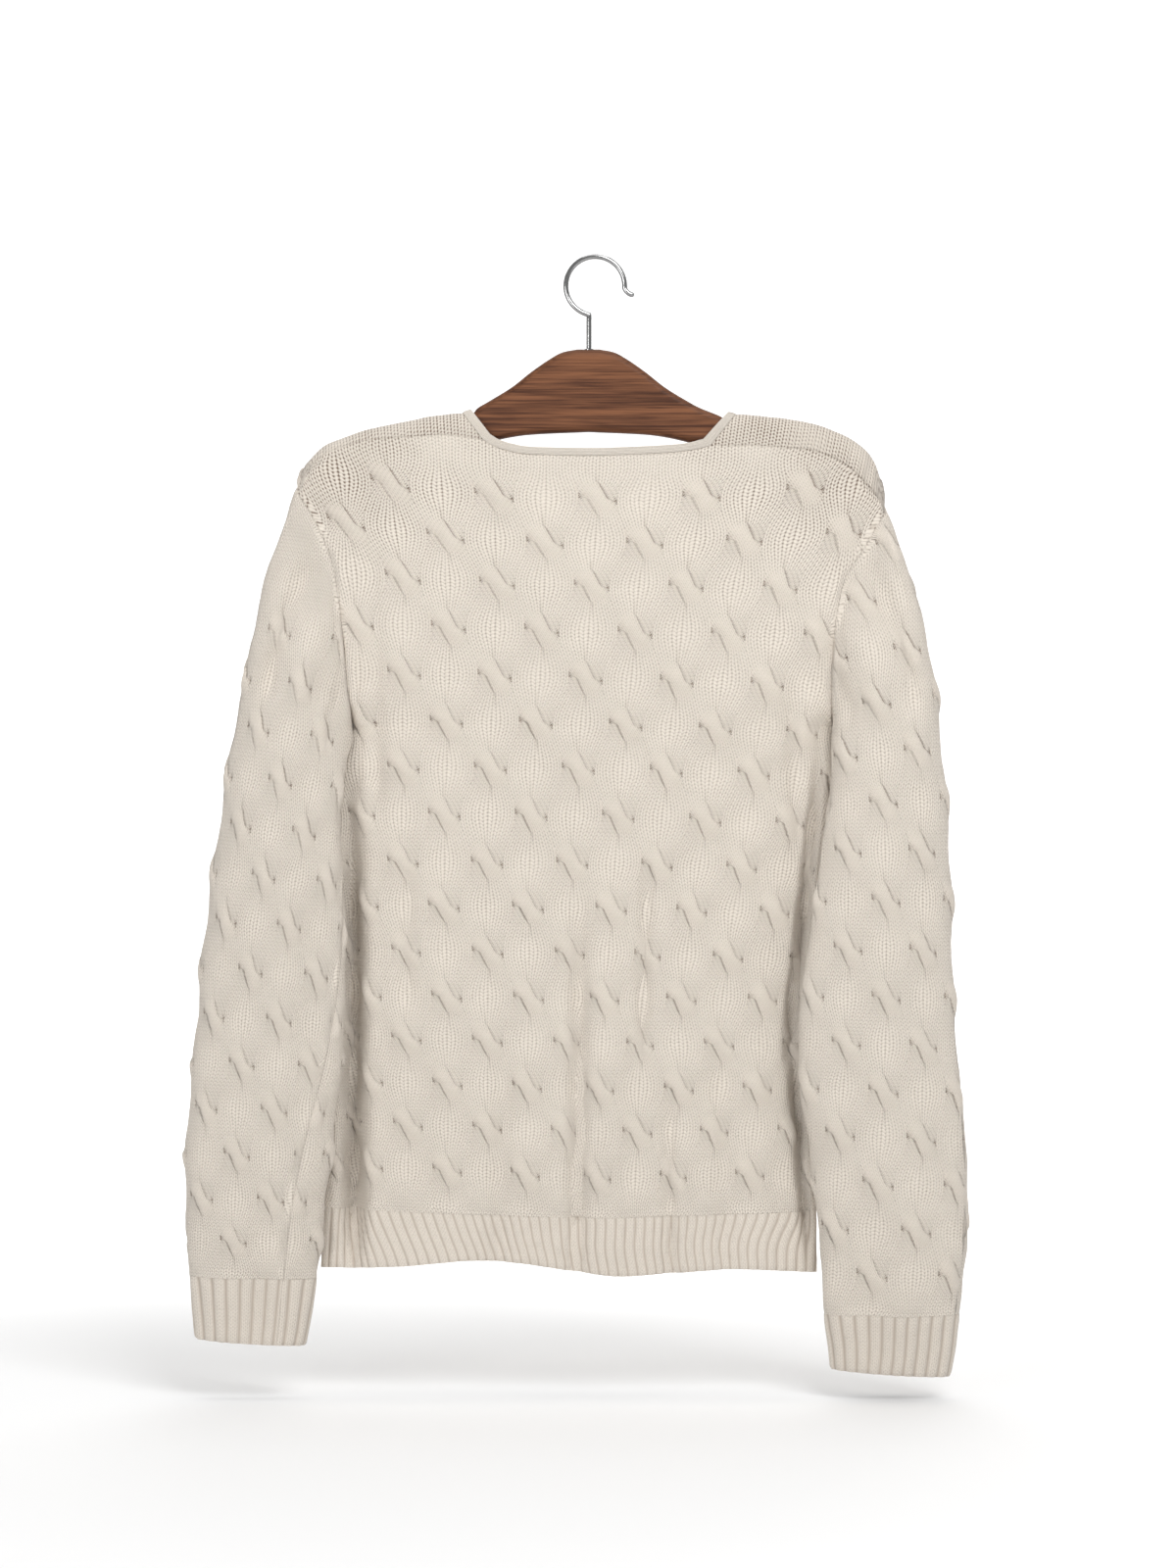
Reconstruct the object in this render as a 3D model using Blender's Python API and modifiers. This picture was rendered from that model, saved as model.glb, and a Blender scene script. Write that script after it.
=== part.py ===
"""A cable-knit cardigan hanging on a wooden hanger, in metres, +Z up.

The origin is the hook's inside top, where a rail would hold it. The cardigan's back faces -Y and
the wearer's left is at -X. Tables are in millimetres. The cloth is one outer skin, made of grids
that share their seam points; each grid becomes a wall of its own, a seam gap from its neighbours.
"""

import math

import bmesh
import bpy
import numpy as np

MM = 0.001
WELD = 0.00002  # in metres: vertices nearer than this are one
KNIT = 2.5  # the wall of the knit
TRIM_KNIT = 3.0  # the neck trim, a little prouder than the panels
SEAM_GAP = 0.3
BAND_WIDTH = 30.0
OVER_SHOULDER = 10.5  # half the cloth's depth where it folds over the hanger
SHOULDER_FALL = 150.0  # the drop below the shoulder in which the body reaches its full depth
SIDE_ROUNDING = 2.6  # exponent of the body's section: 2 is an ellipse, more is flatter
UNDERARM_Z = -334.0
RIB_TOP_Z = -680.0  # about where the hem's rib starts
PINCH = 25.0  # the armhole's last stretch, where sleeve and body lie back to back
PINCH_RADIUS = 9.0
PINCH_LEAN = 0.3
NECK_TOP_Z = -108.7
FRONT_NECK_Z = -199.5  # the free edge of the neck trim at the centre front
TRIM_WIDTH = 5.5
BUTTONS = 6
BUTTON_RADIUS = 7.5
BUTTON_THICK = 3.0
HOLE_OUT = 1.4  # a button's holes, from its middle each way
HOLE_RADIUS = 0.8
WOOD_THICK = 12.0
WOOD_EDGE = 5.0
WOOD_CENTRE_X = -4.0
HOOK_WIRE = 3.8
HOOK_RADIUS = 21.0
HOOK_CENTRE_X = 1.0
SHANK_X = -3.5
SHANK_DEPTH = 12.0
WOOD_TOP_Z = -64.5

# How many faces each grid has.
SHOULDER_COLUMNS = 10
NECK_COLUMNS = 12
LOWER_ROWS = 8
BACK_ROWS = 10
FRONT_ROWS = 12
OVER_ROWS = 3
RIB_ROWS = 2


def table(names, *rows):
    """Rows of numbers as one array for each named column."""
    return dict(zip(names.split(), np.array(rows, float).T))


# The body below the underarm, bottom to top: its side edges and its half depth.
SIDES = table(
    "z left right depth",
    (-725, -196, 160, 17),
    (-680, -193.5, 160, 19),
    (-648, -190.5, 160.5, 21),
    (-585, -186, 162, 22.5),
    (-510, -184, 165, 23),
    (-425, -185.5, 169, 23),
    (-385, -185, 171.5, 22.8),
    (-360, -181.5, 173, 22.3),
    (-348, -177.5, 172.7, 22.1),
    (-334, -172, 171, 22),
)

# The armholes, by the share of their rise from the underarm to the shoulder's tip.
ARMHOLE = table(
    "rise left right depth",
    (0, -172, 171, 0),
    (0.05, -172.8, 170, 7),
    (0.2, -176, 169, 11.5),
    (0.38, -178.5, 170.5, 13.5),
    (0.55, -182, 173.5, 13.5),
    (0.72, -187.5, 181, 12.5),
    (0.83, -195, 192, 11.5),
    (0.93, -204, 201, 10),
    (1, -212, 208, 9),
)

# Each shoulder from its tip to the neck: the ridge on the hanger and the seam behind it.
SHOULDERS = {
    "left": table(
        "ridge_x ridge_z seam_x seam_z",
        (-212, -162, -212, -167),
        (-205, -146, -205, -151.5),
        (-193, -134, -192.5, -139.5),
        (-179, -128, -177.5, -134),
        (-164, -122.5, -161, -130),
        (-137, -116.5, -131, -127.5),
        (-114, -112, -104, -126.5),
        (-94, -109.5, -79, -129.5),
    ),
    "right": table(
        "ridge_x ridge_z seam_x seam_z",
        (208, -176, 208, -182),
        (205.5, -158, 203, -172),
        (198, -141, 193.5, -160),
        (186, -130, 180, -147.5),
        (171, -122.5, 161, -138.5),
        (150, -116, 138, -135.5),
        (125, -112.5, 111, -134),
        (101.5, -110.5, 83, -134),
    ),
}

# The neckline on the back, between the shoulder seams: its free edge and the trim's lower edge.
BACK_NECK = table(
    "edge_x edge_z panel_x panel_z",
    (-74, -125.5, -79, -129.5),
    (-67, -129.7, -70, -134.6),
    (-57, -132.7, -58.5, -138.1),
    (-43, -134.7, -43.5, -140.2),
    (-3.5, -135.5, -3.5, -141),
    (24, -134.8, 24, -140.3),
    (50, -133.5, 50.5, -139),
    (66, -132, 68, -137.3),
    (78, -129, 83, -134),
)

# The free edge of the neck where it crosses each shoulder: on the ridge and at the seam.
NECK_OVER = {
    "left": {"ridge": (-88, -107.3), "seam": (-74, -125.5)},
    "right": {"ridge": (96, -109.0), "seam": (78, -129)},
}

# The hem, by the share of the body's width from its left edge.
HEM = table(
    "share rib_top hem",
    (0, -677, -720),
    (0.16, -679, -718.5),
    (0.32, -681, -714),
    (0.42, -682, -716.5),
    (0.52, -683, -722),
    (0.6, -683, -725),
    (0.7, -682, -723),
    (0.83, -681, -720.5),
    (1, -679, -723.5),
)

# The large folds: where each starts and ends, its half width and how far it stands out.
FOLDS = {
    "back": table(
        "top_x top_z foot_x foot_z width out",
        (-4, -400, -12, -745, 11, -6),
        (31, -520, 34, -745, 10, -4),
        (10, -440, 11, -745, 12, 3),
        (-158, -120, -156, -400, 7, -3),
        (-128, -400, -132, -530, 9, -3),
        (-62, -520, -70, -745, 12, -3),
        (88, -480, 96, -745, 13, -3.5),
        (136, -250, 128, -620, 10, -3),
    ),
    "front": table(
        "top_x top_z foot_x foot_z width out",
        (-80, -230, -96, -745, 14, -5),
        (-122, -430, -140, -745, 11, -3.5),
        (76, -260, 62, -745, 13, -5),
        (118, -400, 112, -745, 12, -3.5),
    ),
}

# The sleeves' rings from the armhole to the cuff rib's end: the outer and the inner edge of each,
# half its depth, where its middle lies in depth, and how much of the armhole's curve it keeps.
SLEEVES = {
    "left": table(
        "out_x out_z in_x in_z depth middle armhole",
        (-212, -162, -172, -334, 14, 0, 1),
        (-218.5, -180, -173, -337, 15, -2, 0.85),
        (-226, -202, -174, -342, 16.5, -6.5, 0.62),
        (-234, -230, -175.5, -349, 18, -12, 0.4),
        (-242, -263, -177.5, -358, 19.5, -15.5, 0.2),
        (-248.5, -300, -179, -371, 21, -17.5, 0.07),
        (-256, -338, -179.5, -388, 22, -18.5, 0),
        (-262.5, -380, -179.5, -410, 23, -19, 0),
        (-269, -426, -178, -440, 23.5, -19.5, 0),
        (-276, -478, -176.5, -482, 23.5, -20, 0),
        (-281, -532, -176.5, -530, 23.5, -20, 0),
        (-286, -586, -179.5, -583, 23.5, -19, 0),
        (-290, -636, -186, -635, 23, -18, 0),
        (-290, -684, -191.5, -683, 21.5, -16.5, 0),
        (-287.5, -724, -197, -726, 19, -15, 0),
        (-286, -747, -200.5, -750, 17, -14.5, 0),
        (-284, -769, -205, -774, 16.5, -14, 0),
    ),
    "right": table(
        "out_x out_z in_x in_z depth middle armhole",
        (208, -176, 171, -334, 14, 0, 1),
        (213.5, -190, 171.8, -337, 15, -2, 0.85),
        (219.5, -208, 172.2, -342, 16.5, -7, 0.62),
        (227, -234, 171.5, -349, 18, -13, 0.4),
        (235.5, -264, 170.5, -359, 19.5, -18, 0.2),
        (241.5, -301, 169, -372, 21, -21.5, 0.07),
        (246, -342, 166.5, -390, 22, -23.5, 0),
        (249.5, -386, 162, -412, 23, -26, 0),
        (252.5, -432, 157.5, -446, 23.5, -28, 0),
        (253.5, -482, 151.5, -488, 23.5, -29.5, 0),
        (255, -536, 145, -540, 23.5, -30, 0),
        (259.5, -590, 146, -592, 23.5, -29, 0),
        (264.5, -642, 153.5, -642, 23, -26, 0),
        (265, -698, 159.5, -698, 21.5, -22, 0),
        (259.5, -751, 163.5, -751, 19, -18, 0),
        (257, -774, 166, -771, 17, -16.5, 0),
        (253, -796, 168, -790.5, 16.5, -16, 0),
    ),
}
CUFF_RINGS = 3  # the last rings of a sleeve's table are its cuff's

# The wood's upper and lower edge, out from its middle; both sides are alike.
WOOD_TOP = table(
    "out z",
    (8, -64.5),
    (19, -66.8),
    (29, -72.4),
    (41, -80.8),
    (55, -91.8),
    (71, -101.6),
    (79, -106.4),
    (83.5, -112.2),
    (92, -114.3),
    (114, -117.6),
    (133, -121),
    (148, -124.4),
    (161, -127.6),
    (175, -132.8),
    (186, -139),
    (193, -146),
)
WOOD_FOOT = table(
    "out z",
    (0, -123.5),
    (38, -125.2),
    (56, -127.4),
    (73, -131.3),
    (92, -136.5),
    (133, -147),
    (175, -158.5),
    (188, -161),
    (193.5, -157),
)


def smooth(keys, values, at):
    """Reads a smooth curve through the points (keys, values); the keys rise."""
    at = np.clip(np.asarray(at, float), keys[0], keys[-1])
    slope = np.gradient(values, keys)
    i = np.clip(np.searchsorted(keys, at) - 1, 0, len(keys) - 2)
    step = keys[i + 1] - keys[i]
    t = (at - keys[i]) / step
    rise = values[i + 1] - values[i]
    start, end = slope[i] * step, slope[i + 1] * step
    return values[i] + t * (start + t * (3 * rise - 2 * start - end + t * (start + end - 2 * rise)))


def column(rows, name, share):
    """One column of a table at a share, 0 to 1, of the way down its rows."""
    values = rows[name]
    return smooth(np.arange(len(values), dtype=float), values, np.asarray(share) * (len(values) - 1))


def ease(t):
    t = np.clip(t, 0, 1)
    return t * t * (3 - 2 * t)


def centre_x(z):
    """The centre front, which hangs a little to the wearer's left at the hem."""
    return 4 + (z - NECK_TOP_Z) * 0.0343


def ridge_z(x):
    """The height of the cloth's ridge on the shoulders, and level across the neck."""
    left, right = SHOULDERS["left"], SHOULDERS["right"]
    keys = np.concatenate([left["ridge_x"], [-88, 4, 96], right["ridge_x"][::-1]])
    heights = np.concatenate([left["ridge_z"], [-108.3, NECK_TOP_Z, -109.6], right["ridge_z"][::-1]])
    return smooth(keys, heights, x)


def fold_over(drop):
    """The half depth of the cloth at a distance below the ridge that it folds over."""
    left = 1 - np.clip(drop / OVER_SHOULDER, 0, 1)
    return OVER_SHOULDER * np.sqrt(1 - left * left)


def hang(x, z):
    """The half depth of the body's middle: the fold over the hanger, then a slow fall outwards."""
    slope = (ridge_z(x + 1) - ridge_z(x - 1)) / 2
    drop = np.maximum(ridge_z(x) - z, 0) / np.sqrt(1 + slope**2)
    full = smooth(SIDES["z"], SIDES["depth"], z)
    return fold_over(drop) + (full - OVER_SHOULDER) * ease((drop - OVER_SHOULDER) / SHOULDER_FALL)


def folds(face, x, z):
    """How far the large folds stand out of one face of the body."""
    rows = FOLDS[face]
    out = 0
    for i in range(len(rows["out"])):
        top, foot = rows["top_z"][i], rows["foot_z"][i]
        down = np.clip((z - top) / (foot - top), -0.3, 1.3)
        line = rows["top_x"][i] + (rows["foot_x"][i] - rows["top_x"][i]) * down
        length = ease(down * 2.2) * ease((1.12 - down) * 4)
        out = out + rows["out"][i] * length * np.exp(-(((x - line) / rows["width"][i]) ** 2))
    return out


def body_points(face, x, z, share, edge_depth):
    """Points of the body's front or back, at a share of the width between its edges."""
    middle = hang(x, z)
    edge = np.minimum(edge_depth, middle)
    across = np.sqrt(np.maximum(1 - np.abs(2 * share - 1) ** SIDE_ROUNDING, 0))
    near_edge = (1 - across) ** (2 - edge / np.maximum(middle, 0.1))
    depth = middle * across + edge * near_edge + folds(face, x, z) * across
    side = -1 if face == "back" else 1
    return np.stack(np.broadcast_arrays(x, side * depth, z), axis=-1)


def lower_points(face, share, z):
    """The body below the underarm."""
    left, right = smooth(SIDES["z"], SIDES["left"], z), smooth(SIDES["z"], SIDES["right"], z)
    return body_points(face, left + (right - left) * share, z, share, 0 * z)


def armhole_at(rise):
    """The armholes' left and right edge and their half depth, at a share of their rise."""
    return [smooth(ARMHOLE["rise"], ARMHOLE[name], rise) for name in ("left", "right", "depth")]


def front_share(side, across, z):
    """The share of the body's width at a share of one front's, from its side to the band's edge."""
    left, right = smooth(SIDES["z"], SIDES["left"], z), smooth(SIDES["z"], SIDES["right"], z)
    away = BAND_WIDTH / 2 * (-1 if side == "left" else 1)
    band = (centre_x(z) + away - left) / (right - left)
    return band * across if side == "left" else 1 + (band - 1) * across


def rib_heights(share, down):
    """Heights between the hem rib's top (0) and the hem (1)."""
    top, foot = (smooth(HEM["share"], HEM[name], share) for name in ("rib_top", "hem"))
    return top + (foot - top) * down


def shoulder_share(x):
    """The share of the width at the height of the shoulders' tips."""
    left, right = ARMHOLE["left"][-1], ARMHOLE["right"][-1]
    return (x - left) / (right - left)


def seam_columns():
    """The back's upper edge from tip to tip: the shoulder seams and the neck trim's lower edge."""
    k = np.linspace(0, 1, SHOULDER_COLUMNS + 1)
    n = np.linspace(0, 1, NECK_COLUMNS + 1)[1:-1]
    left, right = SHOULDERS["left"], SHOULDERS["right"]
    x = [column(left, "seam_x", k), column(BACK_NECK, "panel_x", n), column(right, "seam_x", k)[::-1]]
    z = [column(left, "seam_z", k), column(BACK_NECK, "panel_z", n), column(right, "seam_z", k)[::-1]]
    return np.concatenate(x), np.concatenate(z)


def outwards(grid, side):
    """Turns the left side's grids, so that their faces point out as the right side's do."""
    return grid[:, ::-1] if side == "left" else grid


def back_panel():
    """The back, as rows of points from the rib's top up, each from the left edge to the right."""
    top_x, top_z = seam_columns()
    share = (top_x - top_x[0]) / (top_x[-1] - top_x[0])
    rows = []
    for up in np.linspace(0, 1, LOWER_ROWS + 1):
        z = rib_heights(share, 0)
        rows.append(lower_points("back", share, z + (UNDERARM_Z - z) * up))
    for turn in np.linspace(0, math.pi, BACK_ROWS + 1)[1:]:
        rise = (1 - math.cos(turn)) / 2
        left, right, depth = armhole_at(rise)
        z = UNDERARM_Z + (top_z - UNDERARM_Z) * rise
        rows.append(body_points("back", left + (right - left) * share, z, share, depth))
    rows[-1][: SHOULDER_COLUMNS + 1] = over_shoulder(*shoulder_lines("left"), 1)
    rows[-1][-SHOULDER_COLUMNS - 1 :] = over_shoulder(*shoulder_lines("right"), 1)[::-1]
    return np.array(rows)


def front_neck(side, turn, panel=True):
    """The front neckline, a quarter ellipse from the band's edge (0) to the shoulder's ridge (1)."""
    sign = -1 if side == "left" else 1
    shoulder = SHOULDERS[side]
    ridge = (shoulder["ridge_x"][-1], shoulder["ridge_z"][-1]) if panel else NECK_OVER[side]["ridge"]
    low = FRONT_NECK_Z - TRIM_WIDTH if panel else FRONT_NECK_Z
    start = centre_x(low) + sign * BAND_WIDTH / 2
    angle = np.sin(np.asarray(turn) * math.pi / 2) * math.pi / 2
    x = start + (ridge[0] - start) * np.sin(angle)
    return x, ridge[1] + (low - ridge[1]) * np.cos(angle)


def over_shoulder(ridge, seam, down):
    """Points from the ridge (0) down the back to the shoulder seam (1)."""
    fall = down * down
    x = ridge[0] + (seam[0] - ridge[0]) * fall
    z = ridge[1] + (seam[1] - ridge[1]) * fall
    slope = (ridge_z(x + 1) - ridge_z(x - 1)) / 2
    drop = np.maximum(ridge[1] - z, 0) / np.sqrt(1 + slope**2)
    return np.stack([x, -fold_over(drop), z], axis=-1)


def shoulder_lines(side):
    """The shoulder's ridge and seam, each as x and z from the tip to the neck."""
    k = np.linspace(0, 1, SHOULDER_COLUMNS + 1)
    return [[column(SHOULDERS[side], f"{line}_{axis}", k) for axis in "xz"] for line in ("ridge", "seam")]


def front_panel(side):
    """One front, from the rib's top up its front and over the shoulder to the seam on the back.

    Each row runs from the side seam or armhole to the band or the neck.
    """
    ridge, seam = shoulder_lines(side)
    across = (ridge[0] - ridge[0][0]) / (ridge[0][-1] - ridge[0][0])
    rows = []
    for up in np.linspace(0, 1, LOWER_ROWS + 1):
        z = rib_heights(front_share(side, across, RIB_TOP_Z + 0 * across), 0)
        z = z + (UNDERARM_Z - z) * up
        rows.append(lower_points("front", front_share(side, across, z), z))
    for step in np.linspace(0, 1, FRONT_ROWS + 1)[1:]:
        rise = (1 - math.cos(step * math.pi)) / 2
        left, right, depth = armhole_at(rise)
        low = FRONT_NECK_Z - TRIM_WIDTH
        if step <= 0.5:
            neck_z = UNDERARM_Z + (low - UNDERARM_Z) * step * 2
            neck_x = centre_x(neck_z) + BAND_WIDTH / 2 * (-1 if side == "left" else 1)
        else:
            neck_x, neck_z = front_neck(side, step * 2 - 1)
        neck_rise = (neck_z - UNDERARM_Z) / (ridge[1][-1] - UNDERARM_Z)
        z = UNDERARM_Z + (ridge[1] - UNDERARM_Z) * (rise + (neck_rise - rise) * across)
        edge = left if side == "left" else right
        x = edge + (neck_x - edge) * across
        rows.append(body_points("front", x, z, (x - left) / (right - left), depth))
    for down in np.linspace(0, 1, OVER_ROWS + 1)[1:]:
        rows.append(over_shoulder(ridge, seam, down))
    return outwards(np.array(rows), side)


def sleeve_panel(side, armhole):
    """Rings of a sleeve, and of its cuff, from the armhole's own points outwards.

    A ring starts behind the shoulder's tip and runs down the back to the underarm and up the
    front. The armhole's curve fades out of the rings below it.
    """
    rings = SLEEVES[side]
    back = np.linspace(0, math.pi, BACK_ROWS + 1)
    front = np.linspace(math.pi, 2 * math.pi, FRONT_ROWS + 1)[1:]
    turns = np.concatenate([back * 0.93 + 0.07 * math.pi, front])
    turns = np.concatenate([turns, 2 * math.pi + np.linspace(0, 0.07 * math.pi, OVER_ROWS + 1)[1:-1]])
    inwards = (1 - np.cos(turns)) / 2
    first = np.array([rings["out_x"][0], 0, rings["out_z"][0]])
    last = np.array([rings["in_x"][0], 0, rings["in_z"][0]])
    grid = []
    for i in range(len(rings["out_x"])):
        outer = np.array([rings["out_x"][i], rings["middle"][i], rings["out_z"][i]])
        inner = np.array([rings["in_x"][i], rings["middle"][i], rings["in_z"][i]])
        oval = outer + (inner - outer) * inwards[:, None]
        oval[:, 1] -= rings["depth"][i] * np.sin(turns)
        moved = armhole + (outer - first) * (1 - inwards)[:, None] + (inner - last) * inwards[:, None]
        grid.append(oval + (moved - oval) * rings["armhole"][i])
    return outwards(np.array(grid), side)


def neck_edge():
    """The neck trim's free edge, from the left band up over the back and down to the right band."""
    turns = np.linspace(0, 1, FRONT_ROWS // 2 + 1)
    downs = np.linspace(0, 1, OVER_ROWS + 1)[1:]
    sides = {}
    for side in ("left", "right"):
        x, z = front_neck(side, turns, panel=False)
        front = body_points("front", x, z, shoulder_share(x), 0 * z)
        back = [over_shoulder(NECK_OVER[side]["ridge"], NECK_OVER[side]["seam"], down) for down in downs]
        sides[side] = np.concatenate([front, back])
    n = np.linspace(0, 1, NECK_COLUMNS + 1)[1:-1]
    x, z = column(BACK_NECK, "edge_x", n), column(BACK_NECK, "edge_z", n)
    behind = body_points("back", x, z, shoulder_share(x), 0 * z)
    return np.concatenate([sides["left"], behind, sides["right"][::-1]])


def neck_seam(grids):
    """The panels' own points along the neck trim's seam, in the same order."""
    corner = LOWER_ROWS + FRONT_ROWS // 2
    behind = grids["back"][-1, SHOULDER_COLUMNS + 1 : SHOULDER_COLUMNS + NECK_COLUMNS]
    left, right = grids["front_left"][corner:, 0], grids["front_right"][corner:, -1]
    return np.concatenate([left, behind, right[::-1]])


def band(grids, edge):
    """The strip between the fronts' edges, from the hem to the neck's free edge."""
    corner = LOWER_ROWS + FRONT_ROWS // 2 + 1
    left = [grids["hem_rib_front_left"][:-1, 0], grids["front_left"][:corner, 0], edge[:1]]
    right = [grids["hem_rib_front_right"][:-1, -1], grids["front_right"][:corner, -1], edge[-1:]]
    left, right = np.concatenate(left), np.concatenate(right)
    middle = (left + right) / 2
    share = (centre_x(middle[:, 2]) + 180) / 360
    middle = body_points("front", middle[:, 0], middle[:, 2], share, 0 * share)
    return np.stack([right, middle, left], axis=1)


def hem_rib(face, side=None):
    """A stretch of the hem's rib, from the hem up to its panel."""
    if face == "back":
        top_x, _ = seam_columns()
        across = (top_x - top_x[0]) / (top_x[-1] - top_x[0])
    else:
        ridge = column(SHOULDERS[side], "ridge_x", np.linspace(0, 1, SHOULDER_COLUMNS + 1))
        across = (ridge - ridge[0]) / (ridge[-1] - ridge[0])
    rows = []
    for down in np.linspace(1, 0, RIB_ROWS + 1):
        share = across if face == "back" else front_share(side, across, RIB_TOP_Z + 0 * across)
        z = rib_heights(share, down)
        share = across if face == "back" else front_share(side, across, z)
        rows.append(lower_points(face, share, z))
    return outwards(np.array(rows), side)


def grid_normals(grid, closed):
    """Outward normals of one grid's points."""
    points = grid.reshape(-1, 3)
    total = np.zeros_like(points)
    for face in quads(*grid.shape[:2], closed):
        a, b, c, d = points[list(face)]
        total[list(face)] += np.cross(c - a, d - b)
    return total / np.linalg.norm(total, axis=1)[:, None]


def shared_normals(skin):
    """Outward normals of every grid's points, averaged with those of the grids that meet there.

    Towards the underarm a sleeve and the body lie back to back, so over the armhole's last stretch
    the seam's direction turns out of that pinch, to that of a round loop.
    """
    points = np.concatenate([grid.reshape(-1, 3) for grid, closed in skin.values()])
    own = np.concatenate([grid_normals(grid, closed) for grid, closed in skin.values()])
    tube = np.concatenate([np.full(grid.shape[0] * grid.shape[1], closed) for grid, closed in skin.values()])
    _, index = np.unique(np.round(points, 3), axis=0, return_inverse=True)
    index = index.reshape(-1)
    total = np.zeros((index.max() + 1, 3))
    kinds = np.zeros((index.max() + 1, 2))
    np.add.at(total, index, own)
    np.add.at(kinds, (index, tube.astype(int)), 1)
    total = total[index]
    armhole = kinds[index].all(axis=1)
    total /= np.linalg.norm(total, axis=1)[:, None]
    x, y, z = points[armhole].T
    round_y = np.clip(y / PINCH_RADIUS, -1, 1)
    steady = np.stack([np.sign(x) * PINCH_LEAN, round_y, -np.sqrt(1 - round_y**2)], axis=1)
    total[armhole] += (steady - total[armhole]) * np.clip(1 - (z - UNDERARM_Z) / PINCH, 0, 1)[:, None]
    total /= np.linalg.norm(total, axis=1)[:, None]
    ends = np.cumsum([grid.shape[0] * grid.shape[1] for grid, closed in skin.values()])
    parts = np.split(total, ends[:-1])
    return {name: part.reshape(skin[name][0].shape) for name, part in zip(skin, parts)}


def quads(rows, columns, closed):
    """The corners of a grid's faces, wound so that they face out of the body."""
    for i in range(rows - 1):
        for j in range(columns if closed else columns - 1):
            k = (j + 1) % columns
            yield i * columns + j, i * columns + k, (i + 1) * columns + k, (i + 1) * columns + j


def rims(rows, columns, closed):
    """The loops of points round a grid's open edges, each ending where it starts."""
    first, last = list(range(columns)), list(range((rows - 1) * columns, rows * columns))
    if closed:
        return [first + first[:1], last[::-1] + last[-1:]]
    right = [i * columns + columns - 1 for i in range(1, rows)]
    left = [i * columns for i in range(rows - 2, -1, -1)]
    return [first + right + last[-2::-1] + left]


def drawn_in(grid, closed, gap):
    """The grid with its edges moved in by half a seam's gap, square to the seam."""
    moved = grid.copy()
    sides = [(0, 1, 0), (-1, -2, 0)] + ([] if closed else [(0, 1, 1), (-1, -2, 1)])
    for edge, inside, axis in sides:
        line, within = np.take(grid, edge, axis), np.take(grid, inside, axis)
        if closed:
            along = np.roll(line, -1, axis=0) - np.roll(line, 1, axis=0)
        else:
            along = np.gradient(line, axis=0)
        along /= np.linalg.norm(along, axis=-1)[:, None]
        step = within - line
        step -= along * (step * along).sum(axis=-1)[:, None]
        step *= gap / 2 / np.linalg.norm(step, axis=-1)[:, None]
        if axis == 0:
            moved[edge] += step
        else:
            moved[:, edge] += step
    return moved


def material(name, colour, roughness, metallic=0.0):
    """A Principled BSDF of one colour."""
    new = bpy.data.materials.new(name)
    new.use_nodes = True
    shader = new.node_tree.nodes["Principled BSDF"]
    shader.inputs["Base Color"].default_value = (*colour, 1)
    shader.inputs["Roughness"].default_value = roughness
    shader.inputs["Metallic"].default_value = metallic
    new.diffuse_color = (*colour, 1)
    return new


def keep(mesh, name, finish, smooth_angle=40):
    """Makes one node of a mesh, in the cardigan's collection."""
    new = bpy.data.objects.new(name, mesh)
    mesh.materials.clear()
    mesh.materials.append(finish)
    mesh.shade_smooth()
    mesh.set_sharp_from_angle(angle=math.radians(smooth_angle))
    bpy.data.collections["cardigan"].objects.link(new)
    return new


def cloth(name, grid, normals, closed, thick, finish, out=0.0):
    """A knit wall: the grid's points outside and the same points moved in by the wall's thickness."""
    rows, columns = grid.shape[:2]
    outer = drawn_in(grid + normals * out, closed, SEAM_GAP)
    inner = drawn_in(grid + normals * (out - thick), closed, SEAM_GAP)
    points = np.concatenate([outer.reshape(-1, 3), inner.reshape(-1, 3)]) * MM
    size = rows * columns
    faces = list(quads(rows, columns, closed))
    faces += [tuple(n + size for n in reversed(face)) for face in faces]
    for rim in rims(rows, columns, closed):
        faces += [(b, a, a + size, b + size) for a, b in zip(rim, rim[1:])]
    mesh = bpy.data.meshes.new(name)
    mesh.from_pydata(points.tolist(), [], faces)
    work = bmesh.new()
    work.from_mesh(mesh)
    bmesh.ops.triangulate(work, faces=work.faces[:])
    work.to_mesh(mesh)
    work.free()
    return keep(mesh, name, finish)


def mesh_of(curve_object):
    """A curve's evaluated mesh with its caps welded on; the curve is removed."""
    bpy.context.view_layer.update()
    graph = bpy.context.evaluated_depsgraph_get()
    mesh = bpy.data.meshes.new_from_object(curve_object.evaluated_get(graph))
    mesh.transform(curve_object.matrix_world)
    work = bmesh.new()
    work.from_mesh(mesh)
    bmesh.ops.remove_doubles(work, verts=work.verts[:], dist=WELD)
    work.to_mesh(mesh)
    work.free()
    bpy.data.objects.remove(curve_object)
    return mesh


def drill(thing, place, radius, depth, sides):
    """Cuts a hole along Z in a node, in its own space; the cutter stays in its own collection."""
    bpy.ops.mesh.primitive_cylinder_add(vertices=sides, radius=radius * MM, depth=depth * MM)
    cutter = bpy.context.object
    for collection in list(cutter.users_collection):
        collection.objects.unlink(cutter)
    bpy.data.collections["cutters"].objects.link(cutter)
    cutter.name = f"{thing.name}_hole"
    cutter.parent = thing
    cutter.location = [c * MM for c in place]
    cutter.hide_render = True
    cutter.display_type = "WIRE"
    cut = thing.modifiers.new("hole", "BOOLEAN")
    cut.operation = "DIFFERENCE"
    cut.solver = "EXACT"
    cut.object = cutter


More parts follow.
